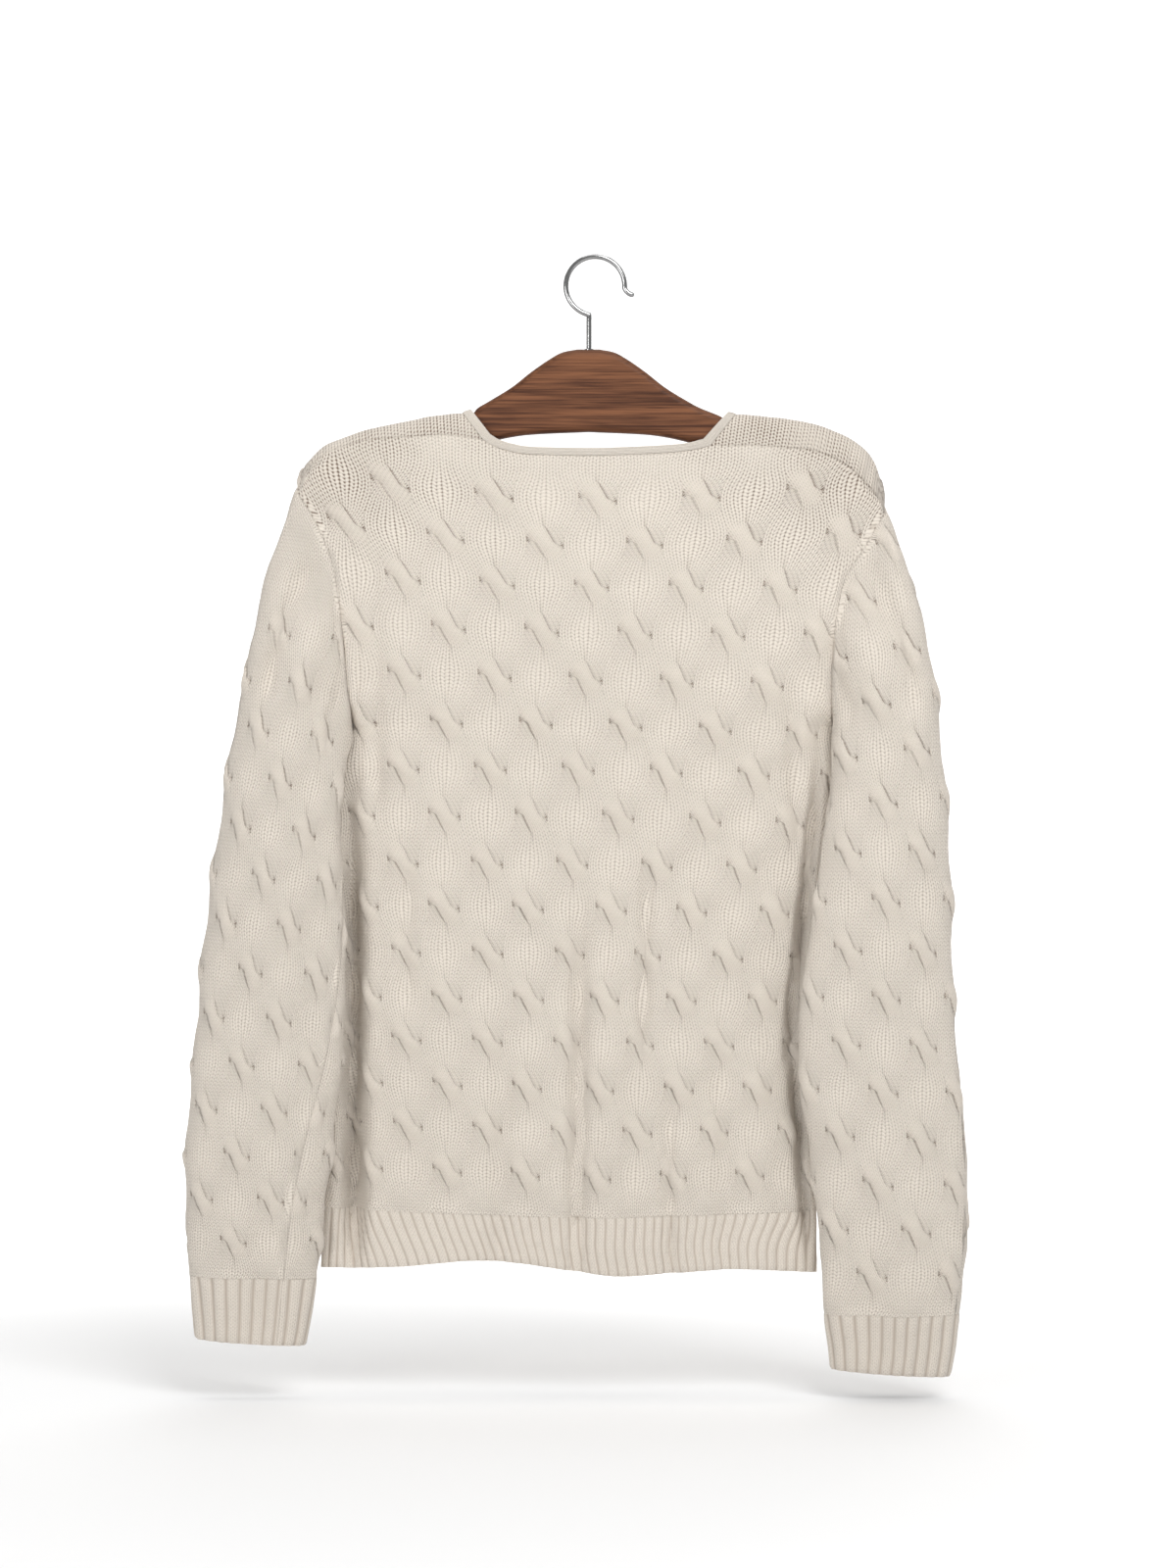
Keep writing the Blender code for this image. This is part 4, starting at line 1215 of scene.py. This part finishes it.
def cable_material(name, rows, open_knit=1.0, rim=0.1, light_and_shade_tone=1.0):
    """Knit with cables in the given rows, with painted shade in its openings, in the creases and in the
    holes beside them.
    """
    made = yarn(name)
    tree = made[1]
    wale, course, plain, loose, edge = (own(tree, n) for n in ("wale", "course", "plain", "loose", "edge"))
    cable = cable_rule(wale, course, plain, ROW, *rows)
    height, opening, parting = stitch_rule(cable["place"], course)
    spread = 0.5 - cable["swell"] * 0.5
    over = (cable["strand"] * 1.6).clamped()
    hidden = 1.0 - over * 0.45
    uneven = object_noise(tree, 70, 2) * 1.2 + 0.4
    # Painted shade in the knit's openings, where the dark inside would show: more where the knit is loose
    # and spread, along the parted wales, and in the holes beside the crossings.
    gaps = opening * (0.24 + loose * (spread * 0.5 + 0.15)) * uneven
    ladders = parting * (spread * loose * 0.35 + 0.03)
    holes = opening ** 0.7 * cable["loose"] * 0.75
    # Painted shade on the loosest knit, most of all on the strips over the shoulders, which face away from
    # the light.
    loose_knit_shade = (loose - 1.0).clamped() * 0.12
    # Painted shade: an even share on the strands, whose own openings are hidden, and more in the creases
    # and the eyelets.
    cable_shade = over * 0.075 + cable["crease"] * plain * 0.6 + cable["eyelet"] * plain * 0.35
    dark = (gaps + ladders + holes + loose_knit_shade) * hidden * open_knit + cable_shade
    dark = (dark + (edge / 0.8).hump() * rim).clamped()
    fibres = object_noise(tree, 1500, 2) * 0.3
    return finished(made, yarn_colour(tree, dark, light_and_shade_tone), height * hidden + fibres, 0.9, 1.2)


def rib_material(name, pitch, light_and_shade_tone=1.0):
    """Two knit wales on each ridge, and purl in the valley between, with painted shade in the valley and in
    the stitches' openings.
    """
    made = yarn(name)
    tree = made[1]
    wale, course = own(tree, "wale"), own(tree, "course")
    inside = ((wale / pitch + 0.5).fraction() - 0.5) / 0.34
    knit = abs(inside).apply("LESS_THAN", 1.0)
    height, opening, _ = stitch_rule(inside + 4.0, course)
    valley = (1.0 - (wale / pitch * (2 * math.pi)).apply("COSINE")) * 0.5
    # Painted shade in the valleys between the ridges and in the knit's openings.
    dark = (opening * knit * 0.32 + valley ** 6.0 * 0.5).clamped()
    fibres = object_noise(tree, 1500, 2) * 0.25
    return finished(made, yarn_colour(tree, dark, light_and_shade_tone), height * knit + fibres, 0.7, 0.9)


def wood_material():
    """Straight brown grain, a little darker along the rounded edges."""
    made = material("hanger_brown_wood", Roughness=0.5, Specular_IOR_Level=0.18)
    tree = made[1]
    grain, streak, broad = (
        object_noise(tree, scale, detail, (along, 1, 1))
        for scale, detail, along in ((260, 5, 0.07), (900, 3, 0.02), (35, 3, 0.12))
    )
    share = ((grain - 0.5) * 2.0 + (streak - 0.5) * 2.4 + (broad - 0.5) * 0.9 + 0.5).clamped()
    bend = Number(tree.nodes.new("ShaderNodeNewGeometry").outputs["Pointiness"])
    rounded_edge = (bend - 0.505).apply("MULTIPLY", 22.0, clamp=True)
    colour = blend(tree, share, WOOD_LIGHT, WOOD_DARK)
    return finished(made, blend(tree, rounded_edge, colour, WOOD_EDGE_TONE), share, 0.12, 0.4)


def steel_material():
    """Bright plated wire with fine scuffs, and small patches of light and dark steel colour as a painted
    reflection of an uneven room.
    """
    made = material("hook_bright_steel", Metallic=1.0)
    tree = made[1]
    scuff_and_reflection = object_noise(tree, 500, 3)
    tree.links.new((scuff_and_reflection * 0.15 + 0.06).socket, made[2].inputs["Roughness"])
    return finished(made, blend(tree, scuff_and_reflection, STEEL_LIGHT, STEEL_DARK), scuff_and_reflection, 0.15, 0.2)


def button_material():
    """Cloudy pale horn, polished."""
    made = material("button_horn", Roughness=0.32, Coat_Weight=0.3, Coat_Roughness=0.2)
    tree = made[1]
    cloud = ((object_noise(tree, 140, 4, (1, 1, 0.4)) - 0.5) * 2.4 + 0.5).clamped()
    return finished(made, blend(tree, cloud, HORN_LIGHT, HORN_DARK), cloud, 0.08, 0.3)


def drawn_in(grid, gap=SEAM_GAP):
    """The grid with its edges moved in by half a seam's gap, square to the seam."""
    moved = grid.copy()
    for edge, inside, axis in ((0, 1, 0), (-1, -2, 0), (0, 1, 1), (-1, -2, 1)):
        line, within = np.take(grid, edge, axis), np.take(grid, inside, axis)
        along = unit(np.gradient(line, axis=0))
        step = within - line
        step -= along * (step * along).sum(axis=-1)[:, None]
        step = unit(step) * np.minimum(gap / 2, np.linalg.norm(step, axis=-1) * 0.45)[:, None]
        moved[(slice(None),) * axis + (edge,)] += step
    return moved


def wall_faces(rows, columns):
    """Faces of a closed wall: a fine grid outside, a coarse one inside, and the rim between.

    The inner points follow the outer ones in the same order; few of them are used.
    """
    size = rows * columns
    index = np.arange(size).reshape(rows, columns)
    corners = [index[:-1, :-1], index[:-1, 1:], index[1:, 1:], index[1:, :-1]]
    faces = np.stack(corners, axis=-1).reshape(-1, 4).tolist()
    cable_shade = [np.unique(np.linspace(0, n - 1, max(2, n // INNER_STEP)).astype(int)) for n in (rows, columns)]
    inner = index + size
    for a, b in zip(cable_shade[0], cable_shade[0][1:]):
        for c, d in zip(cable_shade[1], cable_shade[1][1:]):
            low = inner[a, c : d + 1] if a == 0 else inner[a, [c, d]]
            high = inner[b, c : d + 1] if b == rows - 1 else inner[b, [c, d]]
            left = inner[a + 1 : b, c] if c == 0 else []
            right = inner[a + 1 : b, d] if d == columns - 1 else []
            faces.append([int(n) for n in (*left, *high, *right[::-1], *low[::-1])])
    rim = [*index[0], *index[1:, -1], *index[-1, -2::-1], *index[-2:0:-1, 0], index[0, 0]]
    faces += [[int(b), int(a), int(a) + size, int(b) + size] for a, b in zip(rim, rim[1:])]
    return faces


def finish_mesh(mesh, angle, *materials):
    """Smooth shading with sharp edges over an angle, and the mesh's materials."""
    mesh.shade_smooth()
    mesh.set_sharp_from_angle(angle=math.radians(angle))
    if materials:
        mesh.materials.clear()
    for finish in materials:
        mesh.materials.append(finish)


def add(name, data):
    """A new object in the scene."""
    new = bpy.data.objects.new(name, data)
    bpy.context.scene.collection.objects.link(new)
    return new


def make_object(name, mesh, *materials):
    finish_mesh(mesh, 50, *materials)
    return add(name, mesh)


def settled(thing, keep_facts=False):
    """The mesh of an object with its modifiers run."""
    bpy.context.view_layer.update()
    graph = bpy.context.evaluated_depsgraph_get()
    run = thing.evaluated_get(graph)
    return bpy.data.meshes.new_from_object(run, preserve_all_data_layers=keep_facts, depsgraph=graph)


def joined(mesh, *others):
    """Several meshes as one, in the first."""
    work = bmesh.new()
    for one in (mesh, *others):
        work.from_mesh(one)
    work.to_mesh(mesh)
    work.free()
    return mesh


def show(thing, slot, *nodes):
    """Puts a finished piece in the place of its CAD nodes."""
    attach(thing, "root")
    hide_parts(*nodes)


def cloth(name, grid, normals, facts, thick=KNIT, out=0.0):
    """A wall of knit with its stored facts: one number for each outer point, by name."""
    walls = [drawn_in(grid + normals * out), drawn_in(grid + normals * (out - thick))]
    points = np.concatenate(walls).reshape(-1, 3)
    rows, columns = grid.shape[:2]
    size = rows * columns
    faces = wall_faces(rows, columns)
    used = np.zeros(len(points), bool)
    used[:size] = True
    for face in faces[(rows - 1) * (columns - 1) :]:
        used[face] = True
    renumber = np.cumsum(used) - 1
    mesh = bpy.data.meshes.new(name)
    mesh.from_pydata((points[used] * MM).tolist(), [], [renumber[face].tolist() for face in faces])
    # The inner points come after the outer ones and lie under them.
    under = np.flatnonzero(used[size:])

    def store(label, outer, inner, kind="FLOAT", entry="value"):
        layer = mesh.attributes.new(label, kind, "POINT")
        layer.data.foreach_set(entry, np.concatenate([outer, inner]).astype(np.float32).reshape(-1))

    for label, values in facts.items():
        values = np.broadcast_to(values, grid.shape[:2]).reshape(-1)
        store(label, values, values[under])
    store("outer", np.ones(size), 0 * under)
    flat = normals.reshape(-1, 3)
    store("facing", flat, flat[under], "FLOAT_VECTOR", "vector")
    return make_object(name, mesh)


def knitted(thing, tree, finish, **values):
    """Runs a relief tree on a piece and keeps the result as its mesh."""
    modifier = thing.modifiers.new(tree.name, "NODES")
    modifier.node_group = tree
    sockets = {item.name: item.identifier for item in tree.interface.items_tree if item.in_out == "INPUT"}
    modifier[sockets["Material"]] = finish
    for label, value in values.items():
        modifier[sockets[label.replace("_", " ")]] = float(value)
    mesh = settled(thing, keep_facts=True)
    thing.modifiers.clear()
    thing.data = mesh
    finish_mesh(mesh, 60)
    return thing


def ring_places(side, start, end, count):
    """Evenly spaced places along a sleeve's table of rings."""
    fine = np.linspace(start, end, 400)
    x, z = by_row(SLEEVES[side], "out_x out_z", fine)
    run = np.concatenate([[0], np.cumsum(np.hypot(np.diff(x), np.diff(z)))])
    return np.interp(even(count, run[-1]), run, fine)


def build_skin():
    """Every panel's grid, by node, with the points that a crease moves already moved."""
    grids = {"back": back_panel(), "hem_rib_back": hem_rib("back")}
    sleeve = (("sleeve", 0, CUFF_START, SLEEVE_ROWS), ("cuff", CUFF_START, CUFF_END, CUFF_ROWS))
    for side, edge in (("left", 0), ("right", -1)):
        front = front_panel(side)
        grids[f"front_{side}"] = front
        grids[f"hem_rib_front_{side}"] = hem_rib("front", side)
        behind, before = grids["back"][LOWER_ROWS:, edge][::-1], front[LOWER_ROWS:, -1 - edge][1:-1]
        armhole = np.concatenate([behind, before])
        for node, start, end, count in sleeve:
            grid, moves = sleeve_panel(side, armhole, ring_places(side, start, end, count))
            grids[f"{node}_{side}"] = grid + grid_normals(grid) * moves[..., None]
    free = neck_edge()
    share = even(TRIM_ROWS)[:, None, None]
    seam = neck_seam(grids)
    grids["neck_trim"] = seam + (free - seam) * share
    grids["button_band"] = band(grids, free)
    return grids


def body_facts(name, grid):
    """Loose knit at the shoulders, tight knit below, and plain knit along the seams and the hem."""
    x, z = grid[..., 0], grid[..., 2]
    wale, course = body_knit(grid)
    loose = LOOSE_LEAST
    for more, from_z, rise, from_x, out in zip(*LOOSE_ABOVE.values()):
        loose = loose + more * ease((z - from_z) / rise) * ease((np.abs(x) - from_x) / out)
    if name.startswith("front"):
        ridge = LOWER_ROWS + FRONT_ROWS
        course[ridge:] = course[ridge] - steps(grid[ridge:], 0) / COURSE
        # The strips over the shoulders take painted shade by this looseness, as they face away from the
        # light.
        loose[ridge:] = LOOSE_AND_SHADED_OVER
    plain = ease(from_edges(grid) / PLAIN_EDGE) * ease(course / ROW + 1.1)
    return {"wale": wale, "course": course, "plain": plain, "loose": loose,
            "edge": from_edges(grid, ("last", "start", "end"))}


def sleeve_facts(name, grid):
    wale, course = sleeve_knit(grid, name.split("_")[1])
    plain = ease(from_edges(grid) / PLAIN_EDGE)
    edge = from_edges(grid, ("first", "start", "end"))
    return {"wale": wale, "course": course, "loose": LOOSE_SLEEVE, "plain": plain, "edge": edge}


def trim_facts(grid):
    return {"wale": steps(grid, 0) / TRIM_STITCH, "course": steps(grid, 1) / TRIM_COURSE,
            "plain": 0, "loose": LOOSE_TRIM, "edge": from_edges(grid, ("first", "last"))}


def band_facts(grid):
    return {"wale": steps(grid, 1), "course": -grid[..., 2] / COURSE, "plain": 1, "edge": from_edges(grid)}


def rib_facts(name, grid):
    """Ribs across a hem or a cuff, unevenly wide, and flatter towards their seam."""
    part = name.split("_")[0]
    free, seam = ("first", "last") if part == "hem" else ("last", "first")
    along = steps(grid, 1)
    whole = along[:, -1:]
    count = round(whole.mean() / RIB_WIDTH[part])
    uneven = 2.2 * np.sin(along / 23.0) + 1.6 * np.sin(along / 47.0 + 1)
    return {"wale": along / whole * count * RIB_PITCH + uneven, "course": -grid[..., 2] / COURSE,
            "plain": RIB_FLAT + (1 - RIB_FLAT) * ease(from_edges(grid, (seam,)) / RIB_EASE),
            "edge": from_edges(grid, (free, "start", "end"))}


def build_cloth(grids):
    """The knit pieces, each in the place of its CAD node."""
    normals = shared_normals(grids, [f"{n}_{s}" for n in ("sleeve", "cuff") for s in SIGN])
    cables, ribs = cable_tree(), rib_tree()
    body_finish = cable_material("ecru_cables_body", BODY_ROWS)
    sleeve_finish = {
        side: cable_material(f"ecru_cables_sleeve_{side}", (first, LAST_ROW), light_and_shade_tone=SLEEVE_SHADE_TONE[side])
        for side, first in FIRST_ROW.items()
    }
    rib_finish = {
        part: rib_material(f"ecru_{part}_rib", RIB_PITCH, light_and_shade_tone) for part, light_and_shade_tone in RIB_SHADE_TONE.items()
    }
    band_finish = rib_material("ecru_band_rib", BAND_PITCH)
    trim_finish = cable_material("ecru_trim", NO_ROWS, open_knit=0.12, rim=0.0, light_and_shade_tone=TRIM_LIGHT_TONE)
    for name, grid in grids.items():
        kind, side = name.split("_")[0], name.split("_")[-1]
        piece = (f"{name}_knit", grid, normals[name])
        slot = "cable_knit" if kind in ("back", "front", "sleeve") else "rib_knit"
        if kind in ("back", "front"):
            thing = knitted(cloth(*piece, body_facts(name, grid)), cables, body_finish)
        elif kind == "sleeve":
            thing = cloth(*piece, sleeve_facts(name, grid))
            knitted(thing, cables, sleeve_finish[side], First_row=FIRST_ROW[side], Last_row=LAST_ROW)
        elif kind == "neck":
            thing = cloth(*piece, trim_facts(grid), TRIM_THICK, TRIM_THICK - KNIT)
            knitted(thing, cables, trim_finish, Uneven=0.2, Edge=0.5)
        elif kind == "button":
            facts, sizes = band_facts(grid), {"Ridge": 0.5, "Pitch": BAND_PITCH, "Uneven": 0.25}
            thing = knitted(cloth(*piece, facts), ribs, band_finish, **sizes)
            over = cloth("buttonhole_band_knit", grid, normals[name], facts, out=KNIT + SEAM_GAP)
            show(knitted(over, ribs, band_finish, **sizes), slot, "buttonhole_band")
        else:
            thing = knitted(cloth(*piece, rib_facts(name, grid)), ribs, rib_finish[kind])
        show(thing, slot, name)
    return normals


def curve_mesh(name, points, radius, sides=6, taper=None, cyclic=False, **settings):
    """A curve along points in millimetres, with a round bevel, as a mesh."""
    curve = bpy.data.curves.new(name, "CURVE")
    for label, value in (settings or {"dimensions": "3D", "use_fill_caps": True}).items():
        setattr(curve, label, value)
    curve.bevel_depth = radius * MM
    curve.bevel_resolution = sides
    spline = curve.splines.new("POLY")
    spline.points.add(len(points) - 1)
    spline.use_cyclic_u = cyclic
    for point, place, share in zip(spline.points, points, taper or [1] * len(points)):
        point.co = (*(value * MM for value in place), 1)
        point.radius = share
    thing = add(name, curve)
    mesh = settled(thing)
    bpy.data.objects.remove(thing)
    return mesh


def build_wood():
    """The hanger's wood: its outline between two faces, with rounded edges."""
    k = even(89)
    foot, foot_z = (values[::-1] for values in by_share(WOOD_FOOT, "out z", k))
    left, right, top_z = by_share(WOOD_TOP, "left right z", k)
    right, left, z = (np.concatenate(pair) for pair in ((right, foot), (left, foot), (top_z, foot_z)))
    points = [(WOOD_CENTRE_X + a, b, 0) for a, b in zip(right, z)]
    points += [(WOOD_CENTRE_X - a, b, 0) for a, b in zip(left[::-1], z[::-1]) if a > 0.01]
    shape = {"dimensions": "2D", "fill_mode": "BOTH", "extrude": (WOOD_THICK / 2 - WOOD_EDGE) * MM,
             "offset": -WOOD_EDGE * MM}
    mesh = curve_mesh("wood_outline", points, WOOD_EDGE, cyclic=True, **shape)
    mesh.transform(Matrix.Rotation(math.pi / 2, 4, "X"))
    work = bmesh.new()
    work.from_mesh(mesh)
    bmesh.ops.remove_doubles(work, verts=work.verts[:], dist=0.02 * MM)
    work.to_mesh(mesh)
    work.free()
    thing = make_object("hanger_wood_shaped", mesh, wood_material())
    thing.modifiers.new("even_normals", "WEIGHTED_NORMAL").keep_sharp = True
    mesh = settled(thing)
    thing.modifiers.clear()
    thing.data = mesh
    show(thing, "wood", "hanger_wood")


def build_hook():
    """The hook's wire, with its tip turned out and rounded, and a collar where it enters the wood."""
    centre_z = HOOK_WIRE / 2 - HOOK_RADIUS
    foot, low = WOOD_TOP_Z - 1, centre_z - HOOK_RADIUS
    points = [(SHANK_X, 0, z) for z in np.linspace(foot, low - 2.5, 10)]
    points.append((SHANK_X + 0.1, 0, low - 0.7))
    for angle in np.radians(np.linspace(258, -4, 70)):
        x, z = HOOK_RADIUS * math.cos(angle), HOOK_RADIUS * math.sin(angle)
        points.append((HOOK_CENTRE_X + x, 0, centre_z + z))
    points += [(x, 0, z) for x, z in zip(*HOOK_TIP.values())]
    wire = curve_mesh("wire", points, HOOK_WIRE / 2, taper=[1.0] * (len(points) - 2) + [0.85, 0.45])
    rise = [(SHANK_X, 0, foot + height) for height in (0, 1.2, 1.8)]
    collar = curve_mesh("collar", rise, COLLAR_RADIUS, taper=[1, 1, 0.7])
    thing = make_object("hanger_hook_wire", joined(wire, collar), steel_material())
    show(thing, "hook_steel", "hanger_hook")


def turned_button():
    """A button's mesh: turned to its profile and drilled with four holes."""
    mesh = bpy.data.meshes.new("turned")
    points = [(radius * MM, 0, height * MM) for radius, height in zip(*BUTTON_PROFILE.values())]
    mesh.from_pydata(points, [(i, i + 1) for i in range(len(points) - 1)], [])
    thing = make_object("turned", mesh)
    turn = thing.modifiers.new("turn", "SCREW")
    turn.steps = turn.render_steps = 40
    turn.use_merge_vertices = True
    turn.merge_threshold = 0.02 * MM
    cutters = []
    for x, y in ((1, 1), (1, -1), (-1, 1), (-1, -1)):
        hole = {"radius": HOLE_RADIUS * MM, "location": (x * HOLE_OUT * MM, y * HOLE_OUT * MM, 0)}
        bpy.ops.mesh.primitive_cylinder_add(vertices=16, depth=8 * MM, **hole)
        cutters.append(bpy.context.object)
        cut = thing.modifiers.new("hole", "BOOLEAN")
        cut.operation, cut.solver, cut.object = "DIFFERENCE", "EXACT", cutters[-1]
    done = settled(thing)
    for used in (thing, *cutters):
        bpy.data.objects.remove(used)
    return done


def build_buttons(strip, facing):
    """Turned buttons with four holes, each sewn on with a cross of yarn."""
    horn, thread = button_material(), cable_material("ecru_thread", NO_ROWS)
    middle, towards = strip[:, BAND_COLUMNS // 2], facing[:, BAND_COLUMNS // 2]
    lift = KNIT + SEAM_GAP * 2.2
    for number, z in enumerate(np.linspace(FRONT_NECK_Z - TOP_BUTTON, LAST_BUTTON_Z, BUTTONS), 1):
        place, normal = (
            np.array([np.interp(z, middle[:, 2], values[:, axis]) for axis in range(3)])
            for values in (middle, towards)
        )
        normal = unit(normal)
        mesh = turned_button()
        body = len(mesh.polygons)
        yarns = []
        for side in (1, -1):
            points = [(out * HOLE_OUT, side * out * HOLE_OUT, height + side * apart)
                      for out, height, apart in zip(*SEWN.values())]
            yarns.append(curve_mesh("yarn", points, YARN_RADIUS, sides=3))
        joined(mesh, *yarns)
        for face in mesh.polygons[body:]:
            face.material_index = 1
        up = unit(np.array([0, 0, 1]) - normal * normal[2])
        turned = Matrix(np.stack([np.cross(up, normal), up, normal], axis=1).tolist()).to_4x4()
        mesh.transform(Matrix.Translation((place + normal * lift) * MM) @ turned)
        show(make_object(f"button_{number}_turned", mesh, horn, thread), "button", f"button_{number}")


def build_floor():
    """A pale floor that rises softly into a pale backdrop, which glows a little."""
    profile = [(FLOOR_FRONT, 0.0), (FLOOR_BACK, 0.0)]
    for angle in np.radians(range(10, 91, 10)):
        rise = BACKDROP_RADIUS * (1 - math.cos(angle))
        profile.append((FLOOR_BACK + BACKDROP_RADIUS * math.sin(angle), rise))
    profile.append((FLOOR_BACK + BACKDROP_RADIUS, BACKDROP_TOP))
    mesh = bpy.data.meshes.new("floor")
    points = [(x, y, z + FLOOR_Z * MM) for y, z in profile for x in (-FLOOR_HALF, FLOOR_HALF)]
    faces = [(2 * i, 2 * i + 1, 2 * i + 3, 2 * i + 2) for i in range(len(profile) - 1)]
    mesh.from_pydata(points, [], faces)
    finish, tree, shader = material("pale_floor", Roughness=0.9, Emission_Strength=BACKDROP_GLOW)
    shader.inputs["Base Color"].default_value = (*[FLOOR_GREY] * 3, 1)
    parts = tree.nodes.new("ShaderNodeSeparateXYZ")
    tree.links.new(tree.nodes.new("ShaderNodeTexCoord").outputs["Object"], parts.inputs[0])
    behind = ((Number(parts.outputs["Y"]) - GLOW_START) / GLOW_WAY).clamped()
    glow = blend(tree, behind * behind * (3.0 - behind * 2.0), (0, 0, 0), (1, 1, 1))
    tree.links.new(glow, shader.inputs["Emission Color"])
    make_object("floor", mesh, finish)


def build_studio():
    """Soft studio light all round, four lamps and the camera."""
    scene = bpy.context.scene
    scene.view_settings.view_transform = "Standard"
    scene.world = bpy.data.worlds.new("studio")
    scene.world.use_nodes = True
    background = scene.world.node_tree.nodes["Background"]
    background.inputs["Color"].default_value = (1, 1, 1, 1)
    background.inputs["Strength"].default_value = WORLD_LIGHT
    for name, place, target, size, power in STUDIO_LIGHTS:
        lamp = bpy.data.lights.new(name, "AREA")
        lamp.shape = "RECTANGLE"
        lamp.size, lamp.size_y = size
        lamp.energy = power
        thing = add(name, lamp)
        thing.location = place
        away = np.array(place) - np.array(target)
        thing.rotation_euler = (math.acos(away[2] / np.linalg.norm(away)), 0, math.atan2(away[0], -away[1]))
    lens = bpy.data.cameras.new("camera")
    lens.lens, lens.sensor_width, lens.clip_end = CAMERA_LENS, 36, 30
    scene.camera = add("camera", lens)
    scene.camera.location = CAMERA_PLACE
    scene.camera.rotation_euler = (math.pi / 2, 0, 0)


def main():
    grids = build_skin()
    normals = build_cloth(grids)
    build_wood()
    build_hook()
    build_buttons(grids["button_band"], normals["button_band"])
    build_floor()
    build_studio()


main()
